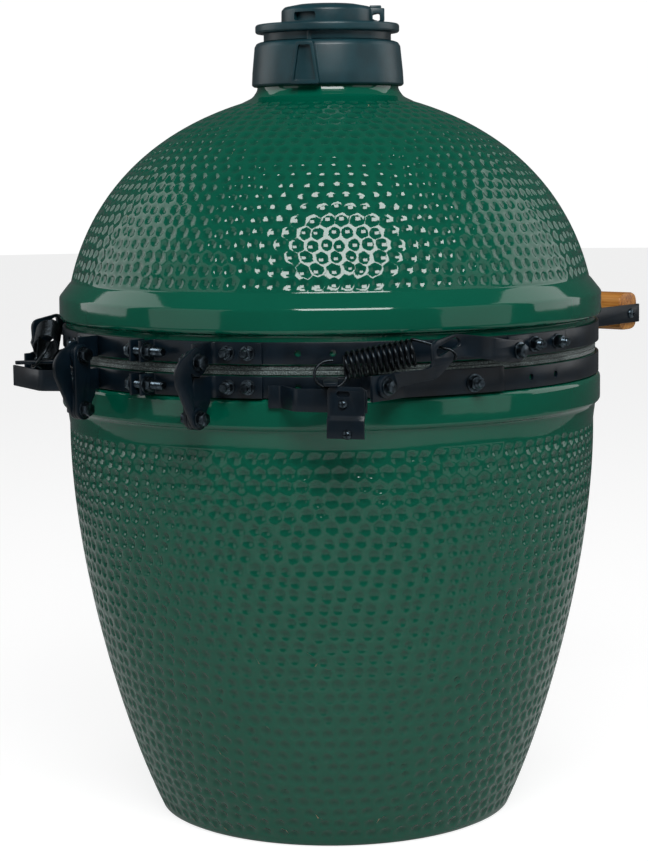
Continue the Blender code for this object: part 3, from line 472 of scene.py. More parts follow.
def dimpled_wall(wall, spacing, cup_r, cup_depth):
    """Points, faces, depth in the cups (which sets the glaze's darker colour there, partly painted shade) and the two
    border rings of a wall of revolution covered in cups.
    """
    wall = np.array(wall)
    step = np.linalg.norm(np.diff(wall, axis=0), axis=1)
    s_at = np.concatenate([[0], np.cumsum(step)])
    length = s_at[-1]
    stretch = np.concatenate([[0], np.cumsum(step / ((wall[1:, 0] + wall[:-1, 0]) / 2))])
    slope = np.gradient(wall, s_at, axis=0)

    def radius_at(s):
        return np.interp(s, s_at, wall[:, 0])

    cups = dimple_centres(radius_at, length, spacing)
    borders = []
    for s in (0.0, length):
        count = round(2 * math.pi * radius_at(s) / spacing)
        borders.append([(2 * math.pi * k / count, s) for k in range(count)])
    flat = np.array(cups + borders[0] + borders[1])
    cup_count, total = len(cups), len(flat)
    order = list(range(total))
    net = [Vector((a, np.interp(s, s_at, stretch))) for a, s in flat]
    margin = 0.5
    for i in range(total):
        for turn, wanted in ((1, flat[i, 0] < margin), (-1, flat[i, 0] > 2 * math.pi - margin)):
            if wanted:
                net.append(net[i] + Vector((turn * 2 * math.pi, 0)))
                order.append(i)
    found = geometry.delaunay_2d_cdt(net, [], [], 0, 1e-9)
    source = [order[group[0]] for group in found[3]]
    triangles, angles = [], []
    for face in found[2]:
        corners = [found[0][v] for v in face]
        if 0 <= sum(c.x for c in corners) / 3 < 2 * math.pi:
            triangles.append([source[v] for v in face])
            angles.append([c.x for c in corners])
    triangles, angles = np.array(triangles), np.array(angles)
    place_s = flat[triangles, 1]
    is_cup = triangles < cup_count

    pairs = np.stack([triangles, np.roll(triangles, -1, axis=1)], axis=2).reshape(-1, 2)
    edges, edge_of = np.unique(np.sort(pairs, axis=1), axis=0, return_inverse=True)
    edge_of = edge_of.reshape(-1, 3)
    first, middle = total, total + len(edges)
    ring_edge = middle + len(triangles)
    ring_face = ring_edge + 4 * len(edges)
    size = ring_face + 6 * len(triangles)
    where = np.zeros((size, 2))
    sunk = np.zeros(size)
    where[:total] = flat
    sunk[:cup_count] = 1.0
    nearest = np.full(total, spacing)
    for corner in range(3):
        other = (corner + 1) % 3
        gap_a = (angles[:, corner] - angles[:, other]) * radius_at(place_s[:, corner])
        gap = np.hypot(gap_a, place_s[:, corner] - place_s[:, other])
        both = is_cup[:, corner] & is_cup[:, other]
        np.minimum.at(nearest, triangles[both, corner], gap[both])
        np.minimum.at(nearest, triangles[both, other], gap[both])
    reach = np.minimum(cup_r, 0.455 * nearest)
    weight = np.where(is_cup, 1.0, 3.0)
    centre_a = (angles * weight).sum(1) / weight.sum(1)
    centre_s = (place_s * weight).sum(1) / weight.sum(1)
    where[middle:ring_edge] = np.stack([centre_a, centre_s], axis=1)
    faces = []
    for corner in range(3):
        here = triangles[:, corner]
        radius = radius_at(place_s[:, corner])
        rays = []
        for other, edge in (((corner + 1) % 3, edge_of[:, corner]), ((corner + 2) % 3, edge_of[:, corner - 1])):
            share = np.where(is_cup[:, corner] == is_cup[:, other], 0.5,
                             np.where(is_cup[:, corner], 0.85, 0.15))
            run_a = (angles[:, other] - angles[:, corner]) * share
            run_s = (place_s[:, other] - place_s[:, corner]) * share
            where[first + edge] = np.stack([angles[:, corner] + run_a, place_s[:, corner] + run_s], axis=1)
            way = (here > triangles[:, other]).astype(int)
            rays.append((run_a, run_s, ring_edge + 4 * edge + 2 * way, first + edge))
        run_a, run_s = centre_a - angles[:, corner], centre_s - place_s[:, corner]
        rays.insert(1, (run_a, run_s, ring_face + 6 * np.arange(len(triangles)) + 2 * corner,
                        middle + np.arange(len(triangles))))
        for run_a, run_s, slot, _ in rays:
            span = np.hypot(run_a * radius, run_s)
            for ring, share in ((0, 0.80), (1, 1.06)):
                t = share * reach[here] / span
                where[slot + ring] = np.stack([angles[:, corner] + run_a * t,
                                               place_s[:, corner] + run_s * t], axis=1)
                sunk[slot + ring] = max(0.0, 1 - share ** 2)
        for near, far in ((rays[0], rays[1]), (rays[1], rays[2])):
            for k in range(len(triangles)):
                if is_cup[k, corner]:
                    faces.append((here[k], near[2][k], far[2][k]))
                    faces.append((near[2][k], near[2][k] + 1, far[2][k] + 1, far[2][k]))
                    faces.append((near[2][k] + 1, near[3][k], far[3][k], far[2][k] + 1))
                else:
                    faces.append((here[k], near[3][k], far[3][k]))
    radius = np.interp(where[:, 1], s_at, wall[:, 0])
    height = np.interp(where[:, 1], s_at, wall[:, 1])
    out_r = np.interp(where[:, 1], s_at, slope[:, 1])
    out_z = -np.interp(where[:, 1], s_at, slope[:, 0])
    norm = np.hypot(out_r, out_z)
    radius = radius - cup_depth * sunk * out_r / norm
    height = height - cup_depth * sunk * out_z / norm
    points = np.stack([radius * np.cos(where[:, 0]), radius * np.sin(where[:, 0]), height], axis=1)
    rings = []
    for start, border in ((cup_count, borders[0]), (cup_count + len(borders[0]), borders[1])):
        count = len(border)
        between = {tuple(edge): first + i for i, edge in enumerate(edges)}
        ring = []
        for k in range(count):
            a, b = start + k, start + (k + 1) % count
            ring += [a, between[(min(a, b), max(a, b))]]
        rings.append(ring)
    for ring in rings:
        level = points[ring[0], 2]
        far_out = math.hypot(*points[ring[0], :2])
        for k, v in enumerate(ring):
            a = 2 * math.pi * k / len(ring)
            points[v] = (far_out * math.cos(a), far_out * math.sin(a), level)
    return points, faces, sunk, rings, cup_count


def ceramic_shell(name, wall, spacing, cup_r, cup_depth, chains):
    """A closed shell: a dimpled wall plus plain turned rows.

    Each chain is (begin, rows, finish_ring): (radius, height) rows that start at the wall's lower
    border (0) or upper border (1), and the border they close on, or None where they end at the axis.
    """
    points, faces, sunk, rings, cup_count = dimpled_wall(wall, spacing, cup_r, cup_depth)
    points, sunk = list(map(tuple, points)), list(sunk)
    for begin, rows, finish_ring in chains:
        last = rings[begin]
        for radius, height in rows:
            if radius < 1e-6:
                fresh = [len(points)]
                points.append((0, 0, height))
            else:
                fresh = list(range(len(points), len(points) + len(rings[begin])))
                for k in range(len(fresh)):
                    a = 2 * math.pi * k / len(fresh)
                    points.append((radius * math.cos(a), radius * math.sin(a), height))
            faces += zip_rings(last, fresh)
            last = fresh
        if finish_ring is not None:
            faces += zip_rings(last, rings[finish_ring])
    sunk += [0.0] * (len(points) - len(sunk))
    mesh = bpy.data.meshes.new(name)
    mesh.from_pydata(points, [], faces)
    # How deep each point lies in a cup; the glaze colours the cup bottoms darker from it, partly painted shade and
    # partly thicker glaze.
    note = mesh.attributes.new("pooling_and_shade", "FLOAT", "POINT")
    note.data.foreach_set("value", np.array(sunk, np.float32))
    shell = bpy.data.objects.new(name, mesh)
    bpy.context.collection.objects.link(shell)
    pick(shell)
    bpy.ops.object.mode_set(mode="EDIT")
    bpy.ops.mesh.select_all(action="SELECT")
    bpy.ops.mesh.delete_loose()
    bpy.ops.mesh.select_all(action="SELECT")
    bpy.ops.mesh.normals_make_consistent(inside=False)
    bpy.ops.object.mode_set(mode="OBJECT")
    print(name, "has", cup_count, "dimples and", count_triangles(shell), "triangles")
    return shell


# %% [markdown]
# The bowl. The dimpled wall swells from a flat foot to the rim; above it come a plain shoulder, the
# plain rim beside the band and the seat under the gasket, then the inner wall down to the floor.

# %% Bowl
bowl_wall = bezier((0.188, 0.005), (0.2290, 0.0942), (0.27705, 0.2737), (0.275, 0.411), 300)
rim_rows = soften([(0.275, 0.411), (0.2772, 0.4275), (0.282, 0.4315), (0.282, 0.4555), (0.2797, 0.4585),
                   (0.277, 0.4592), (0.277, 0.4808), (0.2515, 0.4808), (0.251, 0.425)], 0.0022)[1:]
inner_wall = bezier((0.251, 0.411), (0.249, 0.2737), (0.206, 0.1140), (0.165, 0.040), 9)
floor_rows = [(0.158, 0.034), (0.0, 0.032)]
foot_rows = [(0.1865, 0.0015), (0.1835, 0.0), (0.1, 0.0), (0.0, 0.0)]
bowl = ceramic_shell("bowl_shell_glazed", bowl_wall, 0.0153, 0.0068, 0.0023,
                     [(1, rim_rows + [tuple(p) for p in inner_wall] + floor_rows, None),
                      (0, foot_rows, None)])

# %% [markdown]
# The dome is the same idea upside down: the loop of plain rows runs from the wall's lower border
# round the rim, up the inside and out over the neck to the wall's upper border.

# %% Dome
dome_wall = bezier((0.2705, 0.5575), (0.2544, 0.6262), (0.2047, 0.7042), (0.090, 0.739), 300)
dome_rim = soften([(0.2705, 0.5575), (0.2722, 0.5560), (0.283, 0.5425), (0.2832, 0.5230), (0.282, 0.5195),
                   (0.277, 0.5187), (0.277, 0.4902), (0.2515, 0.4902), (0.251, 0.530)], 0.0022)[1:]
dome_inside = bezier((0.2435, 0.552), (0.2290, 0.6110), (0.185, 0.6850), (0.060, 0.7225), 9)
neck_rows = soften([(0.060, 0.7225), (0.0545, 0.745), (0.0545, 0.790), (0.0725, 0.790), (0.0733, 0.752),
                    (0.0785, 0.7445), (0.090, 0.739)], 0.003)[1:-1]
dome = ceramic_shell("dome_shell_glazed", dome_wall, 0.0139, 0.0062, 0.0019,
                     [(0, dome_rim + [tuple(p) for p in dome_inside] + neck_rows, 1)])
bowl = smooth(bowl, 50)
dome = smooth(dome, 50)

# %% [markdown]
# The bowl's front has a flat leaning boss round the draft opening. The boss is a cube with rounded
# edges, joined on, and the opening is cut through both. The inner walls are unglazed clay, so faces
# that look towards the axis get the second material.

# %% Boss and draft opening
boss_place = Matrix.Translation((0, -0.2170, 0.080)) @ Matrix.Rotation(math.radians(18.9), 4, "X")


def block(name, low, high, edge=0.0, segments=2, place=Matrix.Identity(4)):
    """A box between two corners with rounded edges, put in place by a matrix."""
    deselect_all()
    low, high = Vector(low), Vector(high)
    bpy.ops.mesh.primitive_cube_add(size=1, location=(low + high) / 2)
    obj = bpy.context.object
    obj.scale = high - low
    bake_place(obj)
    obj.name = obj.data.name = name
    if edge:
        apply_step(obj, "BEVEL", width=edge, segments=segments)
    obj.data.transform(place)
    return obj


combine(bowl, block("boss", (-0.096, 0.0003, -0.048), (0.096, 0.040, 0.048), 0.004, 3, boss_place), "UNION", "MANIFOLD")
opening = block("opening", (-0.062, -0.04, -0.030), (0.062, 0.08, 0.030), 0.004, 3, boss_place)
combine(bowl, opening, "DIFFERENCE", "MANIFOLD")
print("bowl with its draft opening has", count_triangles(bowl), "triangles")


def two_finishes(shell, outside, inside, is_inside):
    """Give the faces that is_inside() picks the second material."""
    shell.data.materials.clear()
    shell.data.materials.append(outside)
    shell.data.materials.append(inside)
    marks = [1 if is_inside(face) else 0 for face in shell.data.polygons]
    shell.data.polygons.foreach_set("material_index", marks)
    return sum(marks)


def looks_inwards(face):
    flat = Vector((face.center.x, face.center.y, 0))
    return face.normal.dot(flat) < -0.15 * flat.length and flat.length < 0.2525 or flat.length < 0.16 and \
        0.031 < face.center.z < 0.045


inner_faces = two_finishes(bowl, green_glaze, fired_clay, looks_inwards)
inner_faces += two_finishes(dome, green_glaze, fired_clay, looks_inwards)
body_of_node = {node: body for body, nodes in frame["record"]["behaviour"]["bodies"].items() for node in nodes}


def hand_over(obj, finish, slot, *nodes, body=None):
    """Give a piece its finish and the body of the frame nodes it stands for; the slot argument is not used."""
    if finish is not None:
        obj.data.materials.append(finish)
    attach(obj, body or body_of_node[nodes[0]])
    if nodes:
        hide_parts(*nodes)
    made.append(obj.name)
    return obj


hand_over(bowl, None, "green_glaze", "bowl_shell")
hand_over(dome, None, "green_glaze", "dome_shell")
print("shells in place,", inner_faces, "faces of bare clay")

# %% [markdown]
# ## Metal finishes
# The straps are mild steel under a satin black powder coat. Powder melts into a film with a faint
# orange-peel about 1.5 mm across, and dust and handling leave the gloss slightly uneven.

# %% Powder-coated steel
powder_coat, tree, shader = patterned("satin_black_powder_coat", 0.4, 0, (30, 4),
                                      [(0.3, "#040D14"), (0.7, "#0A1822")], ((1.6, 1), 0.05, 0.6))
gloss = add_node(tree, "ShaderNodeMapRange", {"Value": noise(tree, 12, 4), "To Min": 0.24, "To Max": 0.38})
tree.links.new(gloss.outputs["Result"], shader.inputs["Roughness"])
shader.inputs["Specular IOR Level"].default_value = 0.3

# %% [markdown]
# Bolts, nuts and washers are steel with a dark plating: metallic, a little mottled, brighter where
# a spanner has rubbed it. The spring wire is oil-blackened and smoother.

# %% Plated fasteners and spring wire
plated_steel, _, _ = patterned("dark_plated_steel", 0.3, 1, (4, 4),
                               [(0.35, "#2B3339"), (0.6, "#4C5860"), (0.75, "#74828B")], ((0.8, 3), 0.02, 0.5))
spring_wire, _, _ = patterned("oil_blackened_spring_wire", 0.24, 0.85, (6, 3),
                              [(0.3, "#14181B"), (0.7, "#2A3136")], ((1.0, 3, (0.3, 1, 1)), 0.02, 0.4))

# %% [markdown]
# The vent cap is cast iron with a thin satin enamel: the sand of the mould leaves fine pits, about
# 0.8 mm across, under a dark blue-grey coat.

# %% Enamelled cast iron
cast_enamel, _, _ = patterned("satin_enamelled_cast_iron", 0.36, 0, (25, 4), [(0.3, "#0A2B32"), (0.7, "#123A42")],
                              ((1.2, 3), 0.10, 0.7), ((9, 2), 0.12, 0.5))

# %% [markdown]
# The brushed stainless sheet at the front has fine lines along X, drawn 0.4 mm apart, coarser than
# the real 0.1 mm scratches so that they show at all. The grid's rod is plain drawn stainless.

# %% Stainless sheet and rod
brushed_sheet, tree, shader = new_finish("brushed_stainless_sheet", 0.34, 1.0)
lines = noise(tree, 0.4, 3, (0.02, 1, 1))
tree.links.new(ramp(tree, lines, [(0.3, "#8E908F"), (0.7, "#B5B7B6")]), shader.inputs["Base Color"])
raise_surface(tree, shader, lines, 0.02, 0.5)
drawn_rod, _, _ = patterned("drawn_stainless_rod", 0.3, 1, (8, 4), [(0.3, "#858583"), (0.7, "#B9B9B6")],
                            ((0.7, 2), 0.015, 0.4))

# %% [markdown]
# Felt is pressed, matted fibre: grey with paler and darker flecks a millimetre across and a loose
# nap. The handle is an oiled hardwood with long grain lines along the bar, about 2 mm apart.

# %% Felt and oiled wood
felt, _, shader = patterned("flecked_grey_felt", 0.95, 0, (1.1, 3),
                            [(0.38, "#2A3433"), (0.5, "#4E5B5A"), (0.66, "#8C9896")],
                            ((0.9, 4), 0.35, 0.9), ((6, 3), 0.5, 0.6))
shader.inputs["Sheen Weight"].default_value = 0.3
oiled_wood, tree, shader = new_finish("oiled_acacia", 0.42)
grain = noise(tree, 2.2, 5, (0.035, 1, 1))
figure = noise(tree, 14, 3, (0.12, 1, 1))
blend_grain = add_node(tree, "ShaderNodeMath", {0: grain, 1: figure}, operation="ADD").outputs[0]
halved = add_node(tree, "ShaderNodeMath", {0: blend_grain, 1: 0.5}, operation="MULTIPLY").outputs[0]
tree.links.new(ramp(tree, halved, [(0.36, "#7A4416"), (0.48, "#B0712C"), (0.6, "#CC9149"), (0.7, "#D9A661")]),
               shader.inputs["Base Color"])
pores = raise_surface(tree, shader, noise(tree, 0.6, 2, (0.05, 1, 1)), 0.08, 0.6)
raise_surface(tree, shader, grain, 0.1, 0.4, pores)

# %% [markdown]
# Bare cast iron for the charcoal grate, and the white printed dial, black ink and red pointer of
# the thermometer.

# %% Grate iron, dial and pointer
rough_iron, _, _ = patterned("bare_cast_iron", 0.65, 0.6, (6, 5),
                             [(0.3, "#26221F"), (0.55, "#3B3835"), (0.75, "#5A5048")], ((1.5, 4), 0.2, 0.8))
dial_print, _, _ = patterned("white_dial_enamel", 0.35, 0, (3, 3), [(0.3, "#E6E5DF"), (0.7, "#F1F0EB")])
tick_ink, _, _ = patterned("black_dial_ink", 0.5, 0, (2, 3), [(0.3, "#161616"), (0.7, "#242424")])
red_lacquer, _, _ = patterned("red_lacquer", 0.35, 0, (2, 3), [(0.3, "#A3140E"), (0.7, "#C01D14")])
print(len(bpy.data.materials), "materials with the frame's own")

# %% [markdown]
# ## Ways of making metal parts
# Round parts are turned: an outline of edges is spun once round the Z axis. Flat parts are cut from
# plate: a filled curve with a small bevel gives the plate its soft edges and any holes. Bent straps
# are a ribbon along a plan path, thickened and given soft edges. Then come stacks of washers, hex
# heads and threads for the fasteners.


# %% Turned parts
def new_object(name, mesh):
    obj = bpy.data.objects.new(name, mesh)
    bpy.context.collection.objects.link(obj)
    return obj


def tidy_mesh(obj, merge=0.00002):
    """Merge doubles and turn the faces outwards."""
    pick(obj)
    bpy.ops.object.mode_set(mode="EDIT")
    bpy.ops.mesh.select_all(action="SELECT")
    bpy.ops.mesh.remove_doubles(threshold=merge)
    bpy.ops.mesh.normals_make_consistent(inside=False)
    bpy.ops.object.mode_set(mode="OBJECT")
    return obj


def lathe(name, outline, steps=96, closed=False, place=Matrix.Identity(4)):
    """Spin an outline of (radius, height) points once round Z."""
    count = len(outline)
    edges = [(k, k + 1) for k in range(count - 1)] + ([(count - 1, 0)] if closed else [])
    mesh = bpy.data.meshes.new(name)
    mesh.from_pydata([(r, 0, z) for r, z in outline], edges, [])
    obj = pick(new_object(name, mesh))
    bpy.ops.object.mode_set(mode="EDIT")
    bpy.ops.mesh.select_all(action="SELECT")
    bpy.ops.mesh.spin(steps=steps, angle=2 * math.pi, center=(0, 0, 0), axis=(0, 0, 1))
    bpy.ops.object.mode_set(mode="OBJECT")
    tidy_mesh(obj)
    obj.data.transform(place)
    return obj


def facing(point, direction):
    """Matrix that puts local Z along a direction at a point."""
    return Matrix.Translation(point) @ Vector(direction).to_track_quat("Z", "Y").to_matrix().to_4x4()


# %% Plates, straps and wire
def arc_points(centre, radius, start, end, steps=12):
    """Points of a flat arc, angles in degrees."""
    turns = [math.radians(start + (end - start) * k / steps) for k in range(steps + 1)]
    return [(centre[0] + radius * math.cos(a), centre[1] + radius * math.sin(a)) for a in turns]


def hole(centre, radius, steps=20):
    return arc_points(centre, radius, 0, 360, steps)[:-1]


def curve_object(name, runs, closed, **settings):
    """A curve object with one straight-pointed spline for each run of points."""
    curve = bpy.data.curves.new(name, "CURVE")
    for key, value in settings.items():
        setattr(curve, key, value)
    for run in runs:
        spline = curve.splines.new("POLY")
        spline.points.add(len(run) - 1)
        for point, place in zip(spline.points, run):
            point.co = (*place, 0, 1) if len(place) == 2 else (*place, 1)
        spline.use_cyclic_u = closed
    obj = bpy.data.objects.new(name, curve)
    bpy.context.collection.objects.link(obj)
    pick(obj)
    bpy.ops.object.convert(target="MESH")
    return bpy.context.object


def cut_plate(name, outlines, thickness, place=Matrix.Identity(4), edge=0.0004):
    """Plate with soft edges; the first outline is its rim and the others are holes."""
    obj = curve_object(name, outlines, True, dimensions="2D", fill_mode="BOTH",
                       extrude=thickness / 2 - edge, bevel_depth=edge, bevel_resolution=1, offset=-edge)
    obj.data.transform(place)
    return tidy_mesh(obj)


def across(side, w):
    """Matrix that stands an (u, z) outline upright, square to the hinge axis, at distance w."""
    return Matrix(((0, 0, -side, -side * w), (1, 0, 0, 0), (0, 1, 0, 0), (0, 0, 0, 1)))


def bent_strap(name, plan_path, low, high, thickness=steel_t, edge=0.0006):
    """Strap along a plan path of (x, y) points, from height low to high."""
    obj = curve_object(name, [plan_path], False, dimensions="2D", fill_mode="NONE", extrude=(high - low) / 2)
    obj.data.transform(Matrix.Translation((0, 0, (low + high) / 2)))
    tidy_mesh(obj)
    apply_step(obj, "SOLIDIFY", thickness=thickness, offset=0, use_even_offset=True)
    apply_step(obj, "BEVEL", width=edge, segments=2, limit_method="ANGLE", angle_limit=math.radians(50))
    return tidy_mesh(obj)


def wrap(start, end, radius=strap_mid_r, steps_per_degree=0.5):
    """Plan points (u, w) that lie round the bands between two angles."""
    steps = max(2, round(abs(end - start) * steps_per_degree))
    return arc_points((0, 0), radius, start, end, steps)


def plan(side, points):
    return [(-side * w, u) for u, w in points]


def round_wire(name, points, radius, smooth_sides=3):
    """Round wire along points, with closed ends."""
    obj = curve_object(name, [points], False, dimensions="3D", fill_mode="FULL", bevel_depth=radius,
                       bevel_resolution=smooth_sides, use_fill_caps=True)
    return smooth(tidy_mesh(obj, 0.000005), 60)


# %% Fasteners
def stack(name, levels, place):
    """Washers, hexagons and threads in one stack along local Z, each a kind, radius, start and end."""
    pieces = []
    for kind, radius, start, end in levels:
        if kind == "hex":
            deselect_all()
            bpy.ops.mesh.primitive_cylinder_add(vertices=6, radius=radius, depth=end - start,
                                                location=(0, 0, (start + end) / 2))
            part = bake_place(bpy.context.object)
            apply_step(part, "BEVEL", width=0.0007, segments=2)
        elif kind == "washer":
            outline = soften([(0, start), (radius, start), (radius, end), (0, end)], 0.0004, 2)
            part = lathe("washer", outline, 32)
        elif kind == "thread":
            pitch, crest = 0.0011, 0.00035
            turns = max(1, int((end - start) / pitch))
            outline = [(0, start)]
            for k in range(turns):
                z = start + k * pitch
                outline += [(radius - crest, z), (radius, z + pitch * 0.35), (radius, z + pitch * 0.55)]
            outline += [(radius - 0.0008, end), (0, end)]
            part = lathe("thread", outline, 24)
        else:
            outline = [(0, start), (radius, start), (radius, start + 0.35 * (end - start))]
            outline += [(radius * 0.62, start + 0.85 * (end - start)), (0, end)]
            part = lathe("pan", soften(outline, 0.001, 3), 32)
        part.data.transform(place)
        pieces.append(part)
    return smooth(join_as(name, pieces), 30)


def nut_on_plate(point, direction, head=0.0075, washer=0.0088, stub=0.006):
    """Washer, nut and thread end that stand out of a plate."""
    return stack("nut", [("washer", washer, -0.0004, 0.0015), ("hex", head, 0.0014, 0.0075),
                         ("thread", bolt_r, 0.0070, 0.0075 + stub)], facing(point, direction))


print("ways of making metal parts are ready")

# %% [markdown]
# ## Bands and clamp bolts
# Each band is one strip of steel rolled round the rim. At the back its two ends turn outwards into
# ears, and a long bolt pulls the ears together. A few punched holes stay unused.

# %% Bands
clamp_u = (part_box("lower_clamp_bolt")[0].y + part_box("lower_clamp_bolt")[1].y) / 2
ear_u, ear_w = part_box("lower_band")[1].y, 0.0065
band_mid_r = ceramic_r + 0.0003 + band_t / 2
ear_angle = math.degrees(math.asin(ear_w / band_mid_r))
SPARE_HOLES = (32.2, 38.9, 82.0, 90.0)


def drill(point, direction, radius, length):
    """A plain round cutter through a plate."""
    deselect_all()
    bpy.ops.mesh.primitive_cylinder_add(vertices=20, radius=radius, depth=length)
    cutter = bpy.context.object
    cutter.data.transform(facing(point, direction))
    return cutter


def make_band(name, low):
    path = [(ear_u, ear_w)] + wrap(ear_angle, 360 - ear_angle, band_mid_r) + [(ear_u, -ear_w)]
    band = bent_strap(name, plan(1, soften(path, 0.003)), low, low + band_h, band_t)
    height = low + band_h / 2
    cutters = [drill(hinge_point(1, clamp_u, 0, height), (1, 0, 0), 0.0048, 0.03)]
    for side, _ in SIDES:
        for angle in SPARE_HOLES:
            cutters.append(drill(around(side, angle, band_mid_r, height), around(side, angle, 1, 0), 0.0032, 0.012))
    combine(band, join_as("cutters", cutters), "DIFFERENCE")
    return hand_over(smooth(band), powder_coat, "black_steel", name.replace("_steel", ""))


for name, low in (("lower_band_steel", low_band_z), ("upper_band_steel", top_band_z)):
    band = make_band(name, low)
    ear_face = ear_w + band_t / 2 + 0.0003
    bolt = stack(name.replace("band_steel", "clamp_screw"),
                 [("hex", 0.0070, -0.016, -ear_face - 0.0011), ("washer", 0.0085, -ear_face - 0.0012, -ear_face),
                  ("thread", bolt_r, -ear_face, 0.030), ("washer", 0.0085, ear_face, ear_face + 0.0012),
                  ("hex", 0.0070, ear_face + 0.0011, 0.0165)],
                 facing(hinge_point(1, clamp_u, 0, low + band_h / 2), (-1, 0, 0)))
    hand_over(bolt, plated_steel, "bolt_steel", name.replace("band_steel", "clamp_bolt"))
    print(name, count_triangles(band), "triangles, bolt", count_triangles(bolt))

# %% [markdown]
# ## Felt gaskets
# Two strips of thick felt are glued to the rims and meet when the lid is down. Each is a turned ring
# with rounded edges whose outer face is pushed in and out a little, as pressed felt is.

# %% Gaskets
for name, node, body in (("bowl_felt", "bowl_gasket", "bowl"), ("dome_felt", "dome_gasket", "dome")):
    low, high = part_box(node)
    outer, inner = high.x, 0.2520
    section = [(inner, low.z), (outer, low.z), (outer, high.z), (inner, high.z)]
    ring = lathe(name, soften(section, 0.0012, 4, closed=True), 300, closed=True)
    for vertex in ring.data.vertices:
        if math.hypot(vertex.co.x, vertex.co.y) > outer - 0.0015:
            push = 1 + chance.uniform(-0.0012, 0.0004)
            vertex.co.x *= push
            vertex.co.y *= push
    hand_over(smooth(ring, 60), felt, "felt", node)
print("two felt rings")

# %% [markdown]
# ## Hinge brackets
# A strap bolted to the band turns outwards beside the links. The lower one grows an ear down to the
# lower pivot and the upper one carries the eye of the upper pivot.

# %% Hinge brackets and their nuts
flange_angle = math.degrees(math.asin(link_w / strap_mid_r))


def make_hinge_bracket(side, tag, level, low, outline, holes):
    path = soften(wrap(25.4, flange_angle) + [(0.300, link_w)], 0.004)
    strap = bent_strap(f"{level}_hinge_strap_{tag}", plan(side, path), low, low + band_h)
    plate = cut_plate("flange", [outline] + holes, steel_t, across(side, link_w))
    combine(strap, plate, "UNION")
    nuts = []
    for angle in (18.6, 22.6):
        nuts.append(nut_on_plate(around(side, angle, strap_mid_r + steel_t / 2, low + 0.0105),
                                 around(side, angle, 1, 0), 0.0062, 0.0072))
    bolts = join_as(f"{level}_hinge_nuts_{tag}", nuts)
    node = f"{level}_hinge_bracket_{tag}"
    hand_over(smooth(strap), powder_coat, "black_steel", node)
    hand_over(bolts, plated_steel, "bolt_steel", body=body_of_node[node])
    return strap


for side, tag in SIDES:
    top = low_band_z + band_h
    ear = [(0.2780, top - 0.0004), (0.2780, 0.4565), (0.2865, link_low[1])] + arc_points(link_low, 0.0105, 190, 350)
    ear += [(0.3085, 0.456), (0.300, top - 0.0004)]
    make_hinge_bracket(side, tag, "lower", low_band_z, ear, [hole(link_low, 0.0048)])
    high = top_band_z + band_h
    eye = [(0.2780, high - 0.0004), (0.2780, top_band_z + 0.0004)] + arc_points(link_top, 0.0105, 215, 420)
    strap = make_hinge_bracket(side, tag, "upper", top_band_z, eye, [])
    print("hinge brackets", tag, count_triangles(strap))

# %% [markdown]
# ## Crescent links
# A pair of plates on each side turns on the lower pivot and follows the dome: a crescent outside the
# bracket and a plain bar inside it. They are cut from thicker plate, with a hex head at each eye.

# %% Links and their bolts
EYE, TOP_EYE = 0.0105, 0.0135


def three_point_curve(a, b, c, steps=10):
    """A smooth run from a to c that passes through b half way."""
    a, b, c = (np.array(p) for p in (a, b, c))
    pull = 2 * b - (a + c) / 2
    return [tuple((1 - t) ** 2 * a + 2 * t * (1 - t) * pull + t * t * c) for t in np.linspace(0, 1, steps + 1)]


def crescent():
    """Two eyes joined by a web that bulges away from the grill."""
    edge = arc_points(link_top, TOP_EYE, 90, 50, 4)
    edge += [tuple(p) for p in bezier((0.3110, 0.5038), (0.3190, 0.5010), (0.3285, 0.4950), (0.3290, 0.4850), 10)]
    edge += [(0.3280, 0.4760)]
    foot = arc_points(link_low, EYE, -25, -310, 20)
    crown = arc_points(link_top, TOP_EYE, -45, -270, 16)
    middle = (0.3060, (link_low[1] + link_top[1]) / 2)
    return edge + foot + three_point_curve(foot[-1], middle, crown[0])[1:-1] + crown[:-1]


link_gap = steel_t / 2 + 0.0003 + lever_t / 2
for side, tag in SIDES:
    heads = []
    for word, way in (("outer", 1), ("inner", -1)):
        mid = link_w + way * link_gap
        rim = crescent() if way > 0 else arc_points(link_top, EYE, 0, 180) + arc_points(link_low, EYE, 180, 360)
        link = cut_plate(f"link_{word}_{tag}", [rim, hole(link_low, 0.0044)], lever_t, across(side, mid), 0.0007)
        hand_over(smooth(link), powder_coat, "black_steel", f"hinge_link_{word}_{tag}")
        face = mid + way * lever_t / 2
        heads.append(stack("head", [("washer", 0.0082, 0, 0.0014), ("hex", 0.0070, 0.0013, 0.0078)],
                           facing(hinge_point(side, link_top[0], face, link_top[1]), (-side * way, 0, 0))))
    far = link_gap + lever_t / 2 + 0.0003
    heads.append(stack("pin", [("hex", 0.0070, -far - 0.0075, -far - 0.0011), ("washer", 0.0082, -far - 0.0012, -far),
                               ("thread", bolt_r, -far, far), ("washer", 0.0082, far, far + 0.0012),
                               ("hex", 0.0070, far + 0.0011, far + 0.0070)],
                       facing(hinge_point(side, link_low[0], link_w, link_low[1]), (-side, 0, 0))))
    bolts = join_as(f"link_pins_{tag}", heads)
    hand_over(bolts, plated_steel, "bolt_steel", f"link_bolt_{tag}")
    print("links", tag, count_triangles(link), "triangles a plate")

# %% [markdown]
# ## Lift levers
# Each lever is a flat bar with an eye at both ends and a slot for the spring's hook. Two shallow
# bends step it outwards, because the dome's bracket stands further out than the bowl's. The plate is
# cut flat, sliced across at the bends, and its points are then moved sideways.


# %% Levers
def ease(value, low, high):
    t = min(max((value - low) / (high - low), 0.0), 1.0)
    return t * t * (3 - 2 * t)


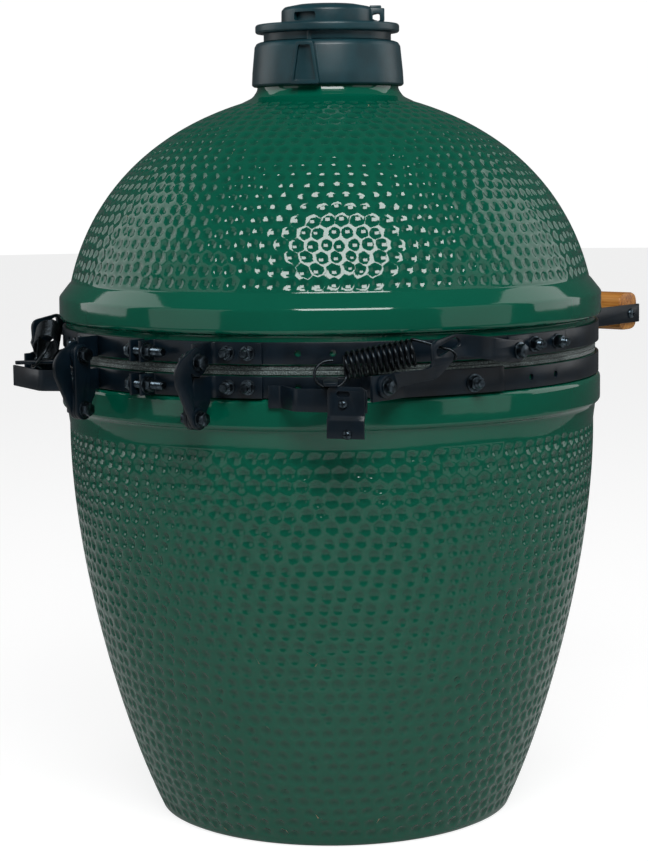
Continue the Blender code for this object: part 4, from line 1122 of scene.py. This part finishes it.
def lever_step(u, z):
    """How far out the lever's inner face lies at (u, z)."""
    low_w = lever_low_w + steel_t / 2 + 0.0003
    slot_w, top_w = 0.260, lever_top_w + steel_t / 2 + 0.0003
    neck = (u - 0.175) * 0.894 - (z - seam_z - 0.005) * 0.447
    inner = slot_w + (low_w - slot_w) * ease(neck, 0.005, 0.024)
    return inner + (top_w - slot_w) * ease(0.150 - u, 0.0, 0.040)


def lever_rim():
    s = seam_z
    rim = [(0.181, s + 0.024), (0.176, s + 0.0290), (0.143, s + 0.0335), (0.090, s + 0.0250)]
    rim += arc_points(lever_top, 0.011, 75, 285, 16)
    rim += [(0.095, s + 0.004), (0.141, s + 0.012), (0.150, s + 0.0085), (0.1586, s + 0.0024), (0.170, s - 0.003)]
    rim += [(0.181, s - 0.008), (0.195, s - 0.0175), (0.203, s - 0.0215)] + arc_points(lever_low, 0.011, 270, 450, 16)
    rim += [(0.200, s - 0.001), (0.185, s + 0.003), (0.180, s + 0.008)]
    return soften(rim, 0.004, 3, closed=True)


def slice_across(obj, point, normal):
    """Cut all faces along a plane, keeping both halves."""
    pick(obj)
    bpy.ops.object.mode_set(mode="EDIT")
    bpy.ops.mesh.select_all(action="SELECT")
    bpy.ops.mesh.bisect(plane_co=point, plane_no=normal)
    bpy.ops.object.mode_set(mode="OBJECT")


slot_rim = arc_points((0.1455, seam_z + 0.0255), 0.0045, 75, 255, 8)
slot_rim += arc_points((0.1710, seam_z + 0.0187), 0.0045, -105, 75, 8)
for side, tag in SIDES:
    lever = cut_plate(f"lever_{tag}", [lever_rim(), slot_rim, hole(lever_low, 0.0046), hole(lever_top, 0.0046)],
                      lever_t, edge=0.0007)
    neck_way = Vector((0.894, -0.447, 0))
    for t in (0.005, 0.009, 0.012, 0.016, 0.020, 0.024):
        slice_across(lever, Vector((0.175, seam_z + 0.005, 0)) + neck_way * t, neck_way)
    for u in (0.150, 0.142, 0.134, 0.126, 0.118, 0.110):
        slice_across(lever, (u, 0, 0), (1, 0, 0))
    for vertex in lever.data.vertices:
        u, z, depth = vertex.co
        vertex.co = hinge_point(side, u, lever_step(u, z) + lever_t / 2 + depth, z)
    tidy_mesh(lever)
    hand_over(smooth(lever), powder_coat, "black_steel", f"lift_lever_{tag}")
print("levers", count_triangles(lever), "triangles each")

# %% [markdown]
# ## Lever brackets, pivot bolts and spring anchors
# The levers turn on short straps that leave the bands and run straight back. The anchor is a strap
# with a tongue that the spring's ring hangs round.

# %% Lever brackets and pivot bolts
for side, tag in SIDES:
    straps = (("lower", wrap(74, 62) + [(0.176, lever_low_w), (0.226, lever_low_w)], low_band_z, 0.4840, lever_low,
               [(66.9, 0.4700, 0.0075, 0.0088)]),
              ("upper", wrap(93, 80.5) + [(0.054, lever_top_w), (0.081, lever_top_w)], top_band_z,
               top_band_z + band_h, lever_top, [(82.0, 0.5025, 0.0066, 0.0078), (89.3, 0.5025, 0.0066, 0.0078)]))
    for level, path, low, high, pivot, nut_places in straps:
        strap = bent_strap(f"{level}_lever_strap_{tag}", plan(side, soften(path, 0.004)), low, high)
        combine(strap, drill(hinge_point(side, pivot[0], 0.26, pivot[1]), (1, 0, 0), 0.0048, 0.12), "DIFFERENCE")
        hand_over(smooth(strap), powder_coat, "black_steel", f"{level}_lever_bracket_{tag}")
        nuts = [nut_on_plate(around(side, angle, strap_mid_r + steel_t / 2, z), around(side, angle, 1, 0), head, washer)
                for angle, z, head, washer in nut_places]
        bolts = join_as(f"{level}_lever_nuts_{tag}", nuts)
        hand_over(bolts, plated_steel, "bolt_steel", body=body_of_node[f"{level}_lever_bracket_{tag}"])
    for node, pivot, w, lock in (("lever_low_bolt", lever_low, lever_low_w, 0.0055),
                                 ("lever_top_bolt", lever_top, lever_top_w, 0.0025)):
        back, front = steel_t / 2 + 0.0003, steel_t / 2 + 0.0006 + lever_t
        bolt = stack(f"{node}_hex_{tag}",
                     [("hex", 0.0068, -back - lock, -back), ("thread", bolt_r, -back - 0.0002, front + 0.0002),
                      ("washer", 0.0085, front, front + 0.0013), ("hex", 0.0068, front + 0.0012, front + 0.0065)],
                     facing(hinge_point(side, pivot[0], w, pivot[1]), (-side, 0, 0)))
        hand_over(bolt, plated_steel, "bolt_steel", f"{node}_{tag}")
print("lever brackets and", len(made), "pieces so far")

# %% Spring anchors
tab_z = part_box("spring_anchor_left")[1].z - steel_t


def on_plane(origin, along, beside):
    """Matrix that lays a flat outline on a plane through a point, along two directions."""
    up = along.cross(beside)
    return Matrix(((along.x, beside.x, up.x, origin.x), (along.y, beside.y, up.y, origin.y),
                   (along.z, beside.z, up.z, origin.z), (0, 0, 0, 1)))


for side, tag in SIDES:
    strap = bent_strap(f"spring_tongue_{tag}", plan(side, wrap(36, 44)), low_band_z, tab_z + steel_t - 0.0005)
    root = strap_mid_r - 0.0004
    tongue = soften([(root, -0.0068), (0.331, -0.0068), (0.331, 0.0068), (root, 0.0068)], 0.004)
    tab = cut_plate("tongue", [tongue], steel_t,
                    on_plane(Vector((0, 0, tab_z + steel_t / 2)), around(side, 38.4, 1, 0), around(side, 128.4, 1, 0)))
    combine(strap, tab, "UNION")
    hand_over(smooth(strap), powder_coat, "black_steel", f"spring_anchor_{tag}")
print("spring anchors")

# %% [markdown]
# ## Springs
# One wire makes each spring: an open ring round the tongue, thirteen coils, and a hook through the lever's slot.

# %% Springs
COIL, RING, WIRE, TURNS = 0.0122, 0.0148, 0.0015, 13


def flow(points, steps=6):
    """A smooth line through points (Catmull-Rom), leaving out the last point."""
    points = [2 * points[0] - points[1]] + list(points) + [2 * points[-1] - points[-2]]
    line = []
    for a, b, c, d in zip(points, points[1:], points[2:], points[3:]):
        for k in range(steps):
            t = k / steps
            line.append(0.5 * (2 * b + t * (c - a) + t * t * (2 * a - 5 * b + 4 * c - d) +
                               t ** 3 * (3 * b - a - 3 * c + d)))
    return line + [points[-2]]


def spring_line(side):
    start, end = around(side, 40.8, 0.2985, seam_z + 0.006), around(side, 53.6, 0.2985, seam_z + 0.018)
    axis = (end - start).normalized()
    outwards = around(side, 38.9, 1, 0)
    middle, beside = around(side, 38.4, 0.305, seam_z - 0.0005), around(side, 128.9, 1, 0)
    rise = (Vector((0, 0, 0.8)) - 0.6 * outwards).normalized()
    ring = [middle + RING * (math.cos(a) * beside + math.sin(a) * rise) for a in np.radians(np.linspace(80, 345, 36))]
    up = (Vector((0, 0, 1)) - axis * axis.z).normalized()
    over = axis.cross(up)
    coils = []
    for k in range(TURNS * 20 + 1):
        a = 2 * math.pi * k / 20
        centre = start.lerp(end, k / (TURNS * 20))
        coils.append(centre + COIL * (math.cos(a) * up + side * math.sin(a) * over))
    s = seam_z
    hook = [(0.1705, 0.2470, s + 0.0265), (0.1665, 0.2530, s + 0.0240), (0.1625, 0.2600, s + 0.0215),
            (0.1590, 0.2680, s + 0.0195), (0.1575, 0.2720, s + 0.0150), (0.1575, 0.2710, s + 0.0100)]
    hook = [hinge_point(side, *place) for place in hook]
    return ring[:-1] + flow([ring[-1], coils[2]])[:-1] + coils[2:-2] + flow([coils[-2]] + hook)


for side, tag in SIDES:
    spring = round_wire(f"coil_spring_{tag}", spring_line(side), WIRE, 2)
    spring.data.materials.append(spring_wire)
    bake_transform(spring)
    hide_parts(f"lift_spring_{tag}")
    made.append(spring.name)
print("springs", count_triangles(spring), "triangles each")

# %% [markdown]
# ## Stand brackets
# Plain straps run off the lower band towards the sides. On the left one a slotted plate hangs, with
# a crease so that its lower half stands proud, held by two cross-head screws.

# %% Stand brackets, plate and screws
stand_bend, stand_tip = Vector((0.2629, 0.1662)), Vector((0.2377, 0.2306))
for side, tag in SIDES:
    path = wrap(26.6, 29.2, 0.2841) + [tuple(stand_bend), tuple(stand_tip)]
    strap = bent_strap(f"stand_strap_{tag}", plan(side, soften(path, 0.004)), 0.4515, 0.4728)
    hand_over(smooth(strap), powder_coat, "black_steel", f"stand_bracket_{tag}")

run = (stand_tip - stand_bend).normalized()
out = Vector((run.y, -run.x)) if run.y > 0 else Vector((-run.y, run.x))
foot_of_plate = stand_bend + out * (steel_t / 2 + 0.0003)


def on_stand(a, z, lift):
    place = foot_of_plate + run * a + out * lift
    return hinge_point(1, place.x, place.y, z)


slot_hole = arc_points((0.0440, 0.4690), 0.0026, 90, 270, 8) + arc_points((0.0515, 0.4690), 0.0026, -90, 90, 8)
rim = soften([(0.0325, 0.4284), (0.0325, 0.4757), (0.0680, 0.4757), (0.0680, 0.4284)], 0.005, 5)
plate = cut_plate("stand_slotted_plate", [rim, slot_hole], steel_t, edge=0.0006)
for z in (0.4442, 0.4457, 0.4472, 0.4487, 0.4502):
    slice_across(plate, (0, z, 0), (0, 1, 0))
for vertex in plate.data.vertices:
    a, z, depth = vertex.co
    vertex.co = on_stand(a, z, 0.0030 * ease(0.4502 - z, 0, 0.0060) + steel_t / 2 + depth)
tidy_mesh(plate)
hand_over(smooth(plate), powder_coat, "black_steel", "stand_plate")


def cross_screw(radius, height, point, direction):
    """Pan head with a cross recess."""
    screw = stack("cross_screw", [("pan", radius, -0.001, height)], Matrix.Identity(4))
    for wide, deep in ((0.55, 0.11), (0.11, 0.55)):
        tool = block("cross", (-wide * radius, -deep * radius, height * 0.45), (wide * radius, deep * radius, 0.01))
        combine(screw, tool, "DIFFERENCE")
    screw.data.transform(facing(point, direction))
    return screw


face_way = Vector((0, out.x, 0)) + Vector((-out.y, 0, 0))
screws = join_as("stand_screws", [cross_screw(0.0045, 0.0034, on_stand(a, z, lift), face_way)
                                  for a, z, lift in ((0.0477, 0.4596, steel_t), (0.0520, 0.4322, steel_t + 0.003))])
hand_over(smooth(screws), plated_steel, "bolt_steel", body="bowl")
print("stand brackets and plate,", count_triangles(plate), "triangles")

# %% [markdown]
# ## Handle
# Two arms run forwards from the upper band to the ends of a wooden bar. A cross-head screw goes
# through each arm into the end grain.

# %% Handle
half_bar, bar_front, screw_y, screw_z = 0.1490, -0.376, -0.357, 0.5025
bar_low, bar_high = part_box("handle_wood")
section = [(bar_low.y, bar_low.z), (bar_high.y, bar_low.z), (bar_high.y, bar_high.z), (bar_low.y, bar_high.z)]
bar = cut_plate("wooden_bar", [soften(section, 0.0135, 8, closed=True)], 2 * half_bar, across(-1, 0), 0.0025)
hand_over(smooth(bar, 40), oiled_wood, "handle_wood", "handle_wood")
arm_x = half_bar + 0.0003 + steel_t / 2
root = math.degrees(math.asin(arm_x / strap_mid_r))
for side, tag in SIDES:
    way = -side
    pads = [(-u, w) for u, w in wrap(root + 12, root)]
    arm = bent_strap(f"handle_strap_{tag}", plan(side, soften(pads + [(bar_front, arm_x)], 0.004)), top_band_z,
                     top_band_z + band_h)
    combine(arm, drill((way * arm_x, screw_y, screw_z), (1, 0, 0), 0.0032, 0.02), "DIFFERENCE")
    hand_over(smooth(arm), powder_coat, "black_steel", f"handle_arm_{tag}")
    angle = 180 - root - 7
    nut = nut_on_plate(around(side, angle, strap_mid_r + steel_t / 2, screw_z), around(side, angle, 1, 0), 0.0062,
                       0.0072, 0.002)
    nut.name = nut.data.name = f"handle_nut_{tag}"
    hand_over(nut, plated_steel, "bolt_steel", body="dome")
    screw = cross_screw(0.0058, 0.0036, (way * (arm_x + steel_t / 2 + 0.0003), screw_y, screw_z), (way, 0, 0))
    screw.name = screw.data.name = f"handle_cross_screw_{tag}"
    hand_over(smooth(screw), plated_steel, "bolt_steel", f"handle_screw_{tag}")
print("handle bar", [round(c, 3) for c in bar_high - bar_low])

# %% [markdown]
# ## Vent cap
# A cast collar sits on the dome's neck with a hollow lug that holds the pivot. The disc above it
# swings aside on that pivot, and the dial on top turns to open three windows.

# %% Collar
collar_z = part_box("cap_collar")[0].z + 0.001
collar_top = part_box("cap_collar")[1].z
outline = [(0.0745, collar_z), (0.0765, collar_z - 0.001), (0.0789, collar_z + 0.001), (0.0782, 0.7700),
           (0.0756, 0.7960), (0.0735, 0.7995), (0.0700, collar_top), (0.0500, collar_top), (0.0500, 0.7905),
           (0.0745, 0.7905)]
collar = lathe("cap_collar_casting", soften(outline, 0.001, 3, closed=True), 128, closed=True)
pivot_at = joint_at["cap_swing_aside"]
lug_way = Vector((pivot_at.x, pivot_at.y, 0)).normalized()
lug_side = Vector((-lug_way.y, lug_way.x, 0))


def lug_plate(outline, near, far):
    return cut_plate("lug", [outline], far - near, on_plane(lug_way * (near + far) / 2, lug_side, Vector((0, 0, 1))),
                     0.0004)


rim = soften([(-0.0150, collar_z), (0.0150, collar_z), (0.0085, 0.7985), (-0.0085, 0.7985)], 0.002, closed=True)
combine(collar, lug_plate(rim, 0.0745, 0.0840), "UNION")
pocket = soften([(-0.0118, collar_z + 0.0035), (0.0118, collar_z + 0.0035), (0.0062, 0.7950), (-0.0062, 0.7950)],
                0.002, closed=True)
combine(collar, lug_plate(pocket, 0.0795, 0.0880), "DIFFERENCE")
combine(collar, drill((pivot_at.x, pivot_at.y, 0.8025), (0, 0, 1), 0.0034, 0.035), "DIFFERENCE")
hand_over(smooth(collar), cast_enamel, "cast_iron", "cap_collar")

# %% Swing disc and dial
outline = [(0.0350, 0.8016), (0.0660, 0.8016), (0.0660, 0.8095), (0.0735, 0.8100), (0.0746, 0.8115), (0.0746, 0.8170),
           (0.0732, 0.8188), (0.0415, 0.8188), (0.0415, 0.8320), (0.0380, 0.8320), (0.0380, 0.8150), (0.0350, 0.8120)]
disc = lathe("cap_swing_disc", soften(outline, 0.0008, 3, closed=True), 128, closed=True)
pin = drill((pivot_at.x, pivot_at.y, 0.8005), (0, 0, 1), 0.0030, 0.019)
combine(disc, pin, "UNION")
outline = [(0, 0.8400), (0.0300, 0.8392), (0.0440, 0.8365), (0.0472, 0.8330), (0.0475, 0.8194), (0.0420, 0.8194),
           (0.0420, 0.8324), (0, 0.8340)]
dial = lathe("cap_turning_dial", soften(outline, 0.0012, 3), 128)
grip_way = Vector((-0.7826, -0.6225, 0)).normalized()
grip_side = Vector((-grip_way.y, grip_way.x, 0))
for low, high, near, far, wide in ((0.8215, 0.8345, 0.0440, 0.0593, 0.0130), (0.8230, 0.8375, 0.0440, 0.0560, 0.0100)):
    rim = soften([(near, -wide), (far, -wide + 0.0025), (far, wide - 0.0025), (near, wide)], 0.002, closed=True)
    grip = cut_plate("grip", [rim], high - low, on_plane(Vector((0, 0, (low + high) / 2)), grip_way, grip_side), 0.0008)
    combine(dial, grip, "UNION")
for k in range(-2, 3):
    middle = grip_way * 0.0593 + grip_side * (k * 0.0042)
    combine(dial, drill((middle.x, middle.y, 0.829), (0, 0, 1), 0.0009, 0.03), "DIFFERENCE")
for turn, target in ((0, disc), (60, dial)):
    for k in range(3):
        place = Matrix.Rotation(math.radians(turn + 120 * k + 38.5), 4, "Z")
        tool = block("window", (0.030, -0.0125, 0.8215), (0.055, 0.0125, 0.8300), 0.002, 3, place)
        combine(target, tool, "DIFFERENCE")
for piece, node in ((disc, "cap_swing_plate"), (dial, "cap_dial")):
    hand_over(smooth(piece, 30), cast_enamel, "cast_iron", node)
print("vent cap", count_triangles(collar), count_triangles(disc), count_triangles(dial), "triangles")

# %% [markdown]
# ## Thermometer
# A stainless bezel stands on the dome's front with a white dial in it. The tick marks are thin inked
# bars every 15 degrees; the red pointer turns over them.

# %% Thermometer
gauge = facing((0, -0.2512, 0.6100), (0, -0.894427, 0.447214))
outline = [(0, -0.060), (0.003, -0.055), (0.003, 0), (0.010, 0.004), (0.0255, 0.0045), (0.0265, 0.006),
           (0.0265, 0.015), (0.0245, 0.0165), (0.0225, 0.0150), (0.0225, 0.0100), (0, 0.0100)]
bezel = lathe("thermometer_bezel", soften(outline, 0.0008, 3), 64, place=gauge)
hand_over(smooth(bezel), brushed_sheet, "door_steel", "thermometer")
face_disc = lathe("thermometer_dial", [(0, 0.0099), (0.0224, 0.0099), (0.0224, 0.0104), (0, 0.0104)], 64, place=gauge)
hand_over(smooth(face_disc), dial_print, "door_steel", body="dome")
ticks = []
for k in range(-8, 9):
    inner_end = 0.0165 if k % 4 == 0 else 0.0180
    turn = gauge @ Matrix.Rotation(math.radians(15 * k), 4, "Z")
    ticks.append(block("tick", (-0.0004, inner_end, 0.0103), (0.0004, 0.0210, 0.01055), place=turn))
marks = join_as("thermometer_ticks", ticks)
hand_over(marks, tick_ink, "door_steel", body="dome")


def from_node(name, node, finish, slot_name, edge, angle=40):
    """A frame node's own flat-sided shape, taken over with soft edges and a fine finish."""
    source = frame["nodes"][node]
    obj = new_object(name, source.data.copy())
    obj.data.transform(source.matrix_world)
    obj.data.materials.clear()
    tidy_mesh(obj)
    apply_step(obj, "BEVEL", width=edge, segments=2, limit_method="ANGLE", angle_limit=math.radians(35))
    return hand_over(smooth(obj, angle), finish, slot_name, node)


from_node("thermometer_red_pointer", "thermometer_pointer", red_lacquer, "pointer_red", 0.0001)
print("thermometer with", len(ticks), "tick marks")

# %% [markdown]
# ## Draft door
# A stainless channel frame is fixed on the boss. A pierced screen and a plain door with a knob slide
# in it, one over the other.

# %% Draft frame, screen and door
from_node("draft_channel_frame", "draft_frame", brushed_sheet, "door_steel", 0.0003)
from_node("draft_pierced_screen", "ember_screen", brushed_sheet, "door_steel", 0.0001)
from_node("draft_sliding_door", "draft_door", brushed_sheet, "door_steel", 0.0003)
print("draft door pieces")

# %% [markdown]
# ## Inside
# The fire box and the ring above it are turned clay. The charcoal grate is a slotted iron disc, and
# the cooking grid is made of plain rods in a ring.

# %% Fire box, ring, grate and grid
outline = [(0.055, 0.0345), (0.150, 0.0345), (0.163, 0.060), (0.185, 0.130), (0.205, 0.220), (0.218, 0.330),
           (0.218, 0.345), (0.194, 0.345), (0.192, 0.310), (0.180, 0.220), (0.160, 0.132), (0.152, 0.122),
           (0.140, 0.122), (0.128, 0.060), (0.055, 0.055)]
fire_box = lathe("fire_box_clay", soften(outline, 0.004, 4, closed=True), 96, closed=True)
combine(fire_box, block("mouth", (-0.05, -0.22, 0.066), (0.05, -0.08, 0.108), 0.006, 3), "DIFFERENCE")
outline = [(0.200, 0.3453), (0.2385, 0.3453), (0.2435, 0.410), (0.2435, 0.435), (0.2150, 0.435), (0.2150, 0.375)]
fire_ring = lathe("fire_ring_clay", soften(outline, 0.004, 4, closed=True), 96, closed=True)
for piece, node in ((fire_box, "fire_box"), (fire_ring, "fire_ring")):
    hand_over(smooth(piece), fired_clay, "fire_clay", node)
grate = lathe("charcoal_grate_iron", soften([(0, 0.1223), (0.15, 0.1223), (0.15, 0.1330), (0, 0.1330)], 0.0012), 96)
for i in range(-3, 4):
    y = i * 0.038
    reach = math.sqrt(0.138 ** 2 - y * y)
    combine(grate, block("slot", (-reach, y - 0.005, 0.11), (reach, y + 0.005, 0.15), 0.002, 2), "DIFFERENCE")
hand_over(smooth(grate), rough_iron, "cast_iron", "charcoal_grate")
rim_r, grid_z = 0.2290, 0.4390
deselect_all()
bpy.ops.mesh.primitive_torus_add(major_radius=rim_r, minor_radius=0.0035, major_segments=160, minor_segments=12,
                                 location=(0, 0, grid_z))
rods = [bake_place(bpy.context.object)]
for i in range(-7, 8):
    reach = math.sqrt(rim_r ** 2 - (i * 0.030) ** 2)
    rods.append(round_wire("rod", [(i * 0.030, -reach, grid_z + 0.0003), (i * 0.030, reach, grid_z + 0.0003)], 0.0020))
for y in (-0.09, 0.09):
    reach = math.sqrt(rim_r ** 2 - y * y)
    rods.append(round_wire("bar", [(-reach, y, grid_z - 0.0017), (reach, y, grid_z - 0.0017)], 0.0021))
grid = join_as("cooking_grid_rods", rods)
hand_over(smooth(grid, 60), drawn_rod, "grid_steel", "cooking_grid")
print("inside pieces; grid", count_triangles(grid), "triangles")

# %% Count of the pieces made
print(len(made), "pieces made")
